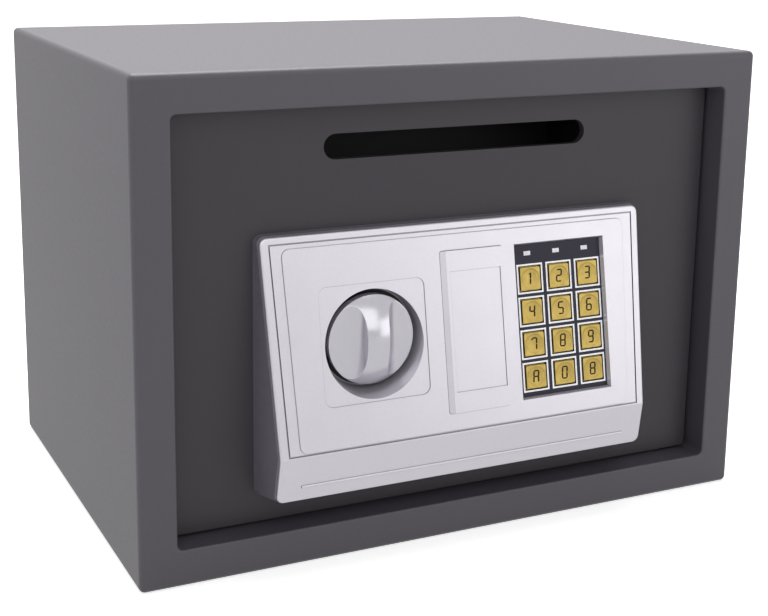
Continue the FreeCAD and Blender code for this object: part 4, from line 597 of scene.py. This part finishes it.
class SAFE_OT_set_stage(bpy.types.Operator):
    """Lays the pale floor and sets up the lamps, the room light and the camera"""
    bl_idname = "safe.set_stage"
    bl_label = "Set the stage"

    def execute(self, context):
        stage, scene = context.scene.safe_stage, context.scene
        floor = bpy.data.meshes.new("floor")
        shape = bmesh.new()
        bmesh.ops.create_grid(shape, x_segments=8, y_segments=8, size=6)
        shape.to_mesh(floor)
        shape.free()
        ground = bpy.data.objects.new("floor", floor)
        scene.collection.objects.link(ground)

        pale = bpy.data.materials.new("pale_floor")
        pale.use_nodes = True
        tree = pale.node_tree
        tree.nodes.clear()
        # To the eye it glows towards white away from the safe, and near it a matt face keeps the safe's shadow.
        rays = add(tree, "LightPath")
        seen = add(tree, "Math", {0: rays.outputs["Is Camera Ray"], 1: rays.outputs["Is Transmission Ray"]},
                   operation="MAXIMUM")
        away = add(tree, "VectorMath", {0: add(tree, "TexCoord").outputs["Object"]}, operation="LENGTH")
        share = add(tree, "MapRange", {"Value": away.outputs["Value"], "From Min": 0.8, "From Max": 2.5,
                                       "To Min": 0.62, "To Max": 1.0})
        glow = add(tree, "Math", {0: seen.outputs[0], 1: share.outputs["Result"]}, operation="MULTIPLY")
        light = add(tree, "Emission", {"Strength": glow.outputs[0]})
        matt = add(tree, "BsdfDiffuse", {"Color": (0.8, 0.8, 0.8, 1)})
        both = add(tree, "AddShader", {0: light.outputs[0], 1: matt.outputs[0]})
        # In reflections it is one even pale tone.
        even = add(tree, "Emission", {"Strength": 0.92})
        face = add(tree, "MixShader", {0: rays.outputs["Is Glossy Ray"], 1: both.outputs[0], 2: even.outputs[0]})
        add(tree, "OutputMaterial", {"Surface": face.outputs[0]})
        floor.materials.append(pale)

        world = bpy.data.worlds.new("room")
        scene.world = world
        world.use_nodes = True
        tree = world.node_tree
        tree.nodes.clear()
        rays = add(tree, "LightPath")
        seen = add(tree, "Math", {0: rays.outputs["Is Camera Ray"], 1: rays.outputs["Is Glossy Ray"]},
                   operation="MAXIMUM")
        seen = add(tree, "Math", {0: seen.outputs[0], 1: rays.outputs["Is Transmission Ray"]}, operation="MAXIMUM")
        strength = add(tree, "Mix", {0: seen.outputs[0], 2: stage.room, 3: 1.0}, data_type="FLOAT")
        # The room is white all round and a little dimmer towards the front, as behind a photographer.
        turn = add(tree, "SeparateXYZ", {"Vector": add(tree, "TexCoord").outputs["Generated"]})
        shade = add(tree, "MapRange", {"Value": turn.outputs["Y"], "From Min": -1.0, "From Max": 0.1,
                                       "To Min": 0.72, "To Max": 1.0})
        hidden = add(tree, "Math", {0: shade.outputs["Result"], 1: rays.outputs["Is Camera Ray"]},
                     operation="MAXIMUM")
        strength = add(tree, "Math", {0: strength.outputs[0], 1: hidden.outputs[0]}, operation="MULTIPLY")
        sky = add(tree, "Background", {"Color": (1, 1, 1, 1), "Strength": strength.outputs[0]})
        add(tree, "OutputWorld", {"Surface": sky.outputs[0]})

        for name, power, size, place, aim in (
                ("overhead_box", stage.lamp_top, (1.4, 1.4), (0.1, 0.5, 1.45), (0, 0.3, 0.1)),
                ("side_box", stage.lamp_side, (1.2, 1.2), (-1.5, 0.2, 0.7), (0, 0, 0.1)),
                ("front_box", stage.lamp_front, (2.4, 1.3), (-0.35, -1.6, 1.05), (0, 0, 0.1)),
                ("sheen_box", stage.lamp_sheen, (1.1, 1.0), (1.15, -1.3, 0.3), (0, -0.1, 0.1))):
            data = bpy.data.lights.new(name, "AREA")
            data.shape = "RECTANGLE"
            data.size, data.size_y = size
            data.energy = power
            lamp = bpy.data.objects.new(name, data)
            lamp.location = place
            lamp.rotation_euler = (Vector(aim) - Vector(place)).to_track_quat("-Z", "Y").to_euler()
            scene.collection.objects.link(lamp)

        data = bpy.data.cameras.new("camera")
        data.lens = stage.lens / MM
        data.sensor_width = 36
        data.shift_x, data.shift_y = -0.0164, -0.1172
        data.clip_start, data.clip_end = 0.05, 30
        camera = bpy.data.objects.new("camera", data)
        camera.location = (-0.3480, -0.7486, 0.3266)
        camera.rotation_euler = Euler([math.radians(a) for a in (77.633, -0.916, -25.954)], "XYZ")
        scene.collection.objects.link(camera)
        scene.camera = camera
        scene.view_settings.view_transform = "Standard"
        return {"FINISHED"}


OPERATORS = (SAFE_OT_coat_steel, SAFE_OT_lay_mat, SAFE_OT_finish_panel, SAFE_OT_print_keypad, SAFE_OT_gild_keys,
             SAFE_OT_finish_bolt_work, SAFE_OT_finish_electronics, SAFE_OT_set_stage)


class SAFE_PT_sidebar(bpy.types.Panel):
    bl_label = "Safe"
    bl_idname = "SAFE_PT_sidebar"
    bl_space_type = "VIEW_3D"
    bl_region_type = "UI"
    bl_category = "Safe"

    def draw(self, context):
        for group in (context.scene.safe_colours, context.scene.safe_marks, context.scene.safe_stage):
            box = self.layout.box()
            for name in group.bl_rna.properties.keys():
                if name not in ("rna_type", "name"):
                    box.prop(group, name)
        for operator in OPERATORS:
            self.layout.operator(operator.bl_idname)


GROUPS = {"safe_colours": SafeColours, "safe_marks": SafeMarks, "safe_stage": SafeStage}


def register():
    for made in (*GROUPS.values(), *OPERATORS, SAFE_PT_sidebar):
        bpy.utils.register_class(made)
    for name, group in GROUPS.items():
        setattr(bpy.types.Scene, name, PointerProperty(type=group))


def unregister():
    for name in GROUPS:
        delattr(bpy.types.Scene, name)
    for made in (SAFE_PT_sidebar, *reversed(OPERATORS), *reversed(GROUPS.values())):
        bpy.utils.unregister_class(made)


def main():
    """Registers the add-on and runs every step that dresses the safe."""
    register()
    for operator in OPERATORS:
        group, name = operator.bl_idname.split(".")
        getattr(getattr(bpy.ops, group), name)()


if __name__ == "__main__":
    main()
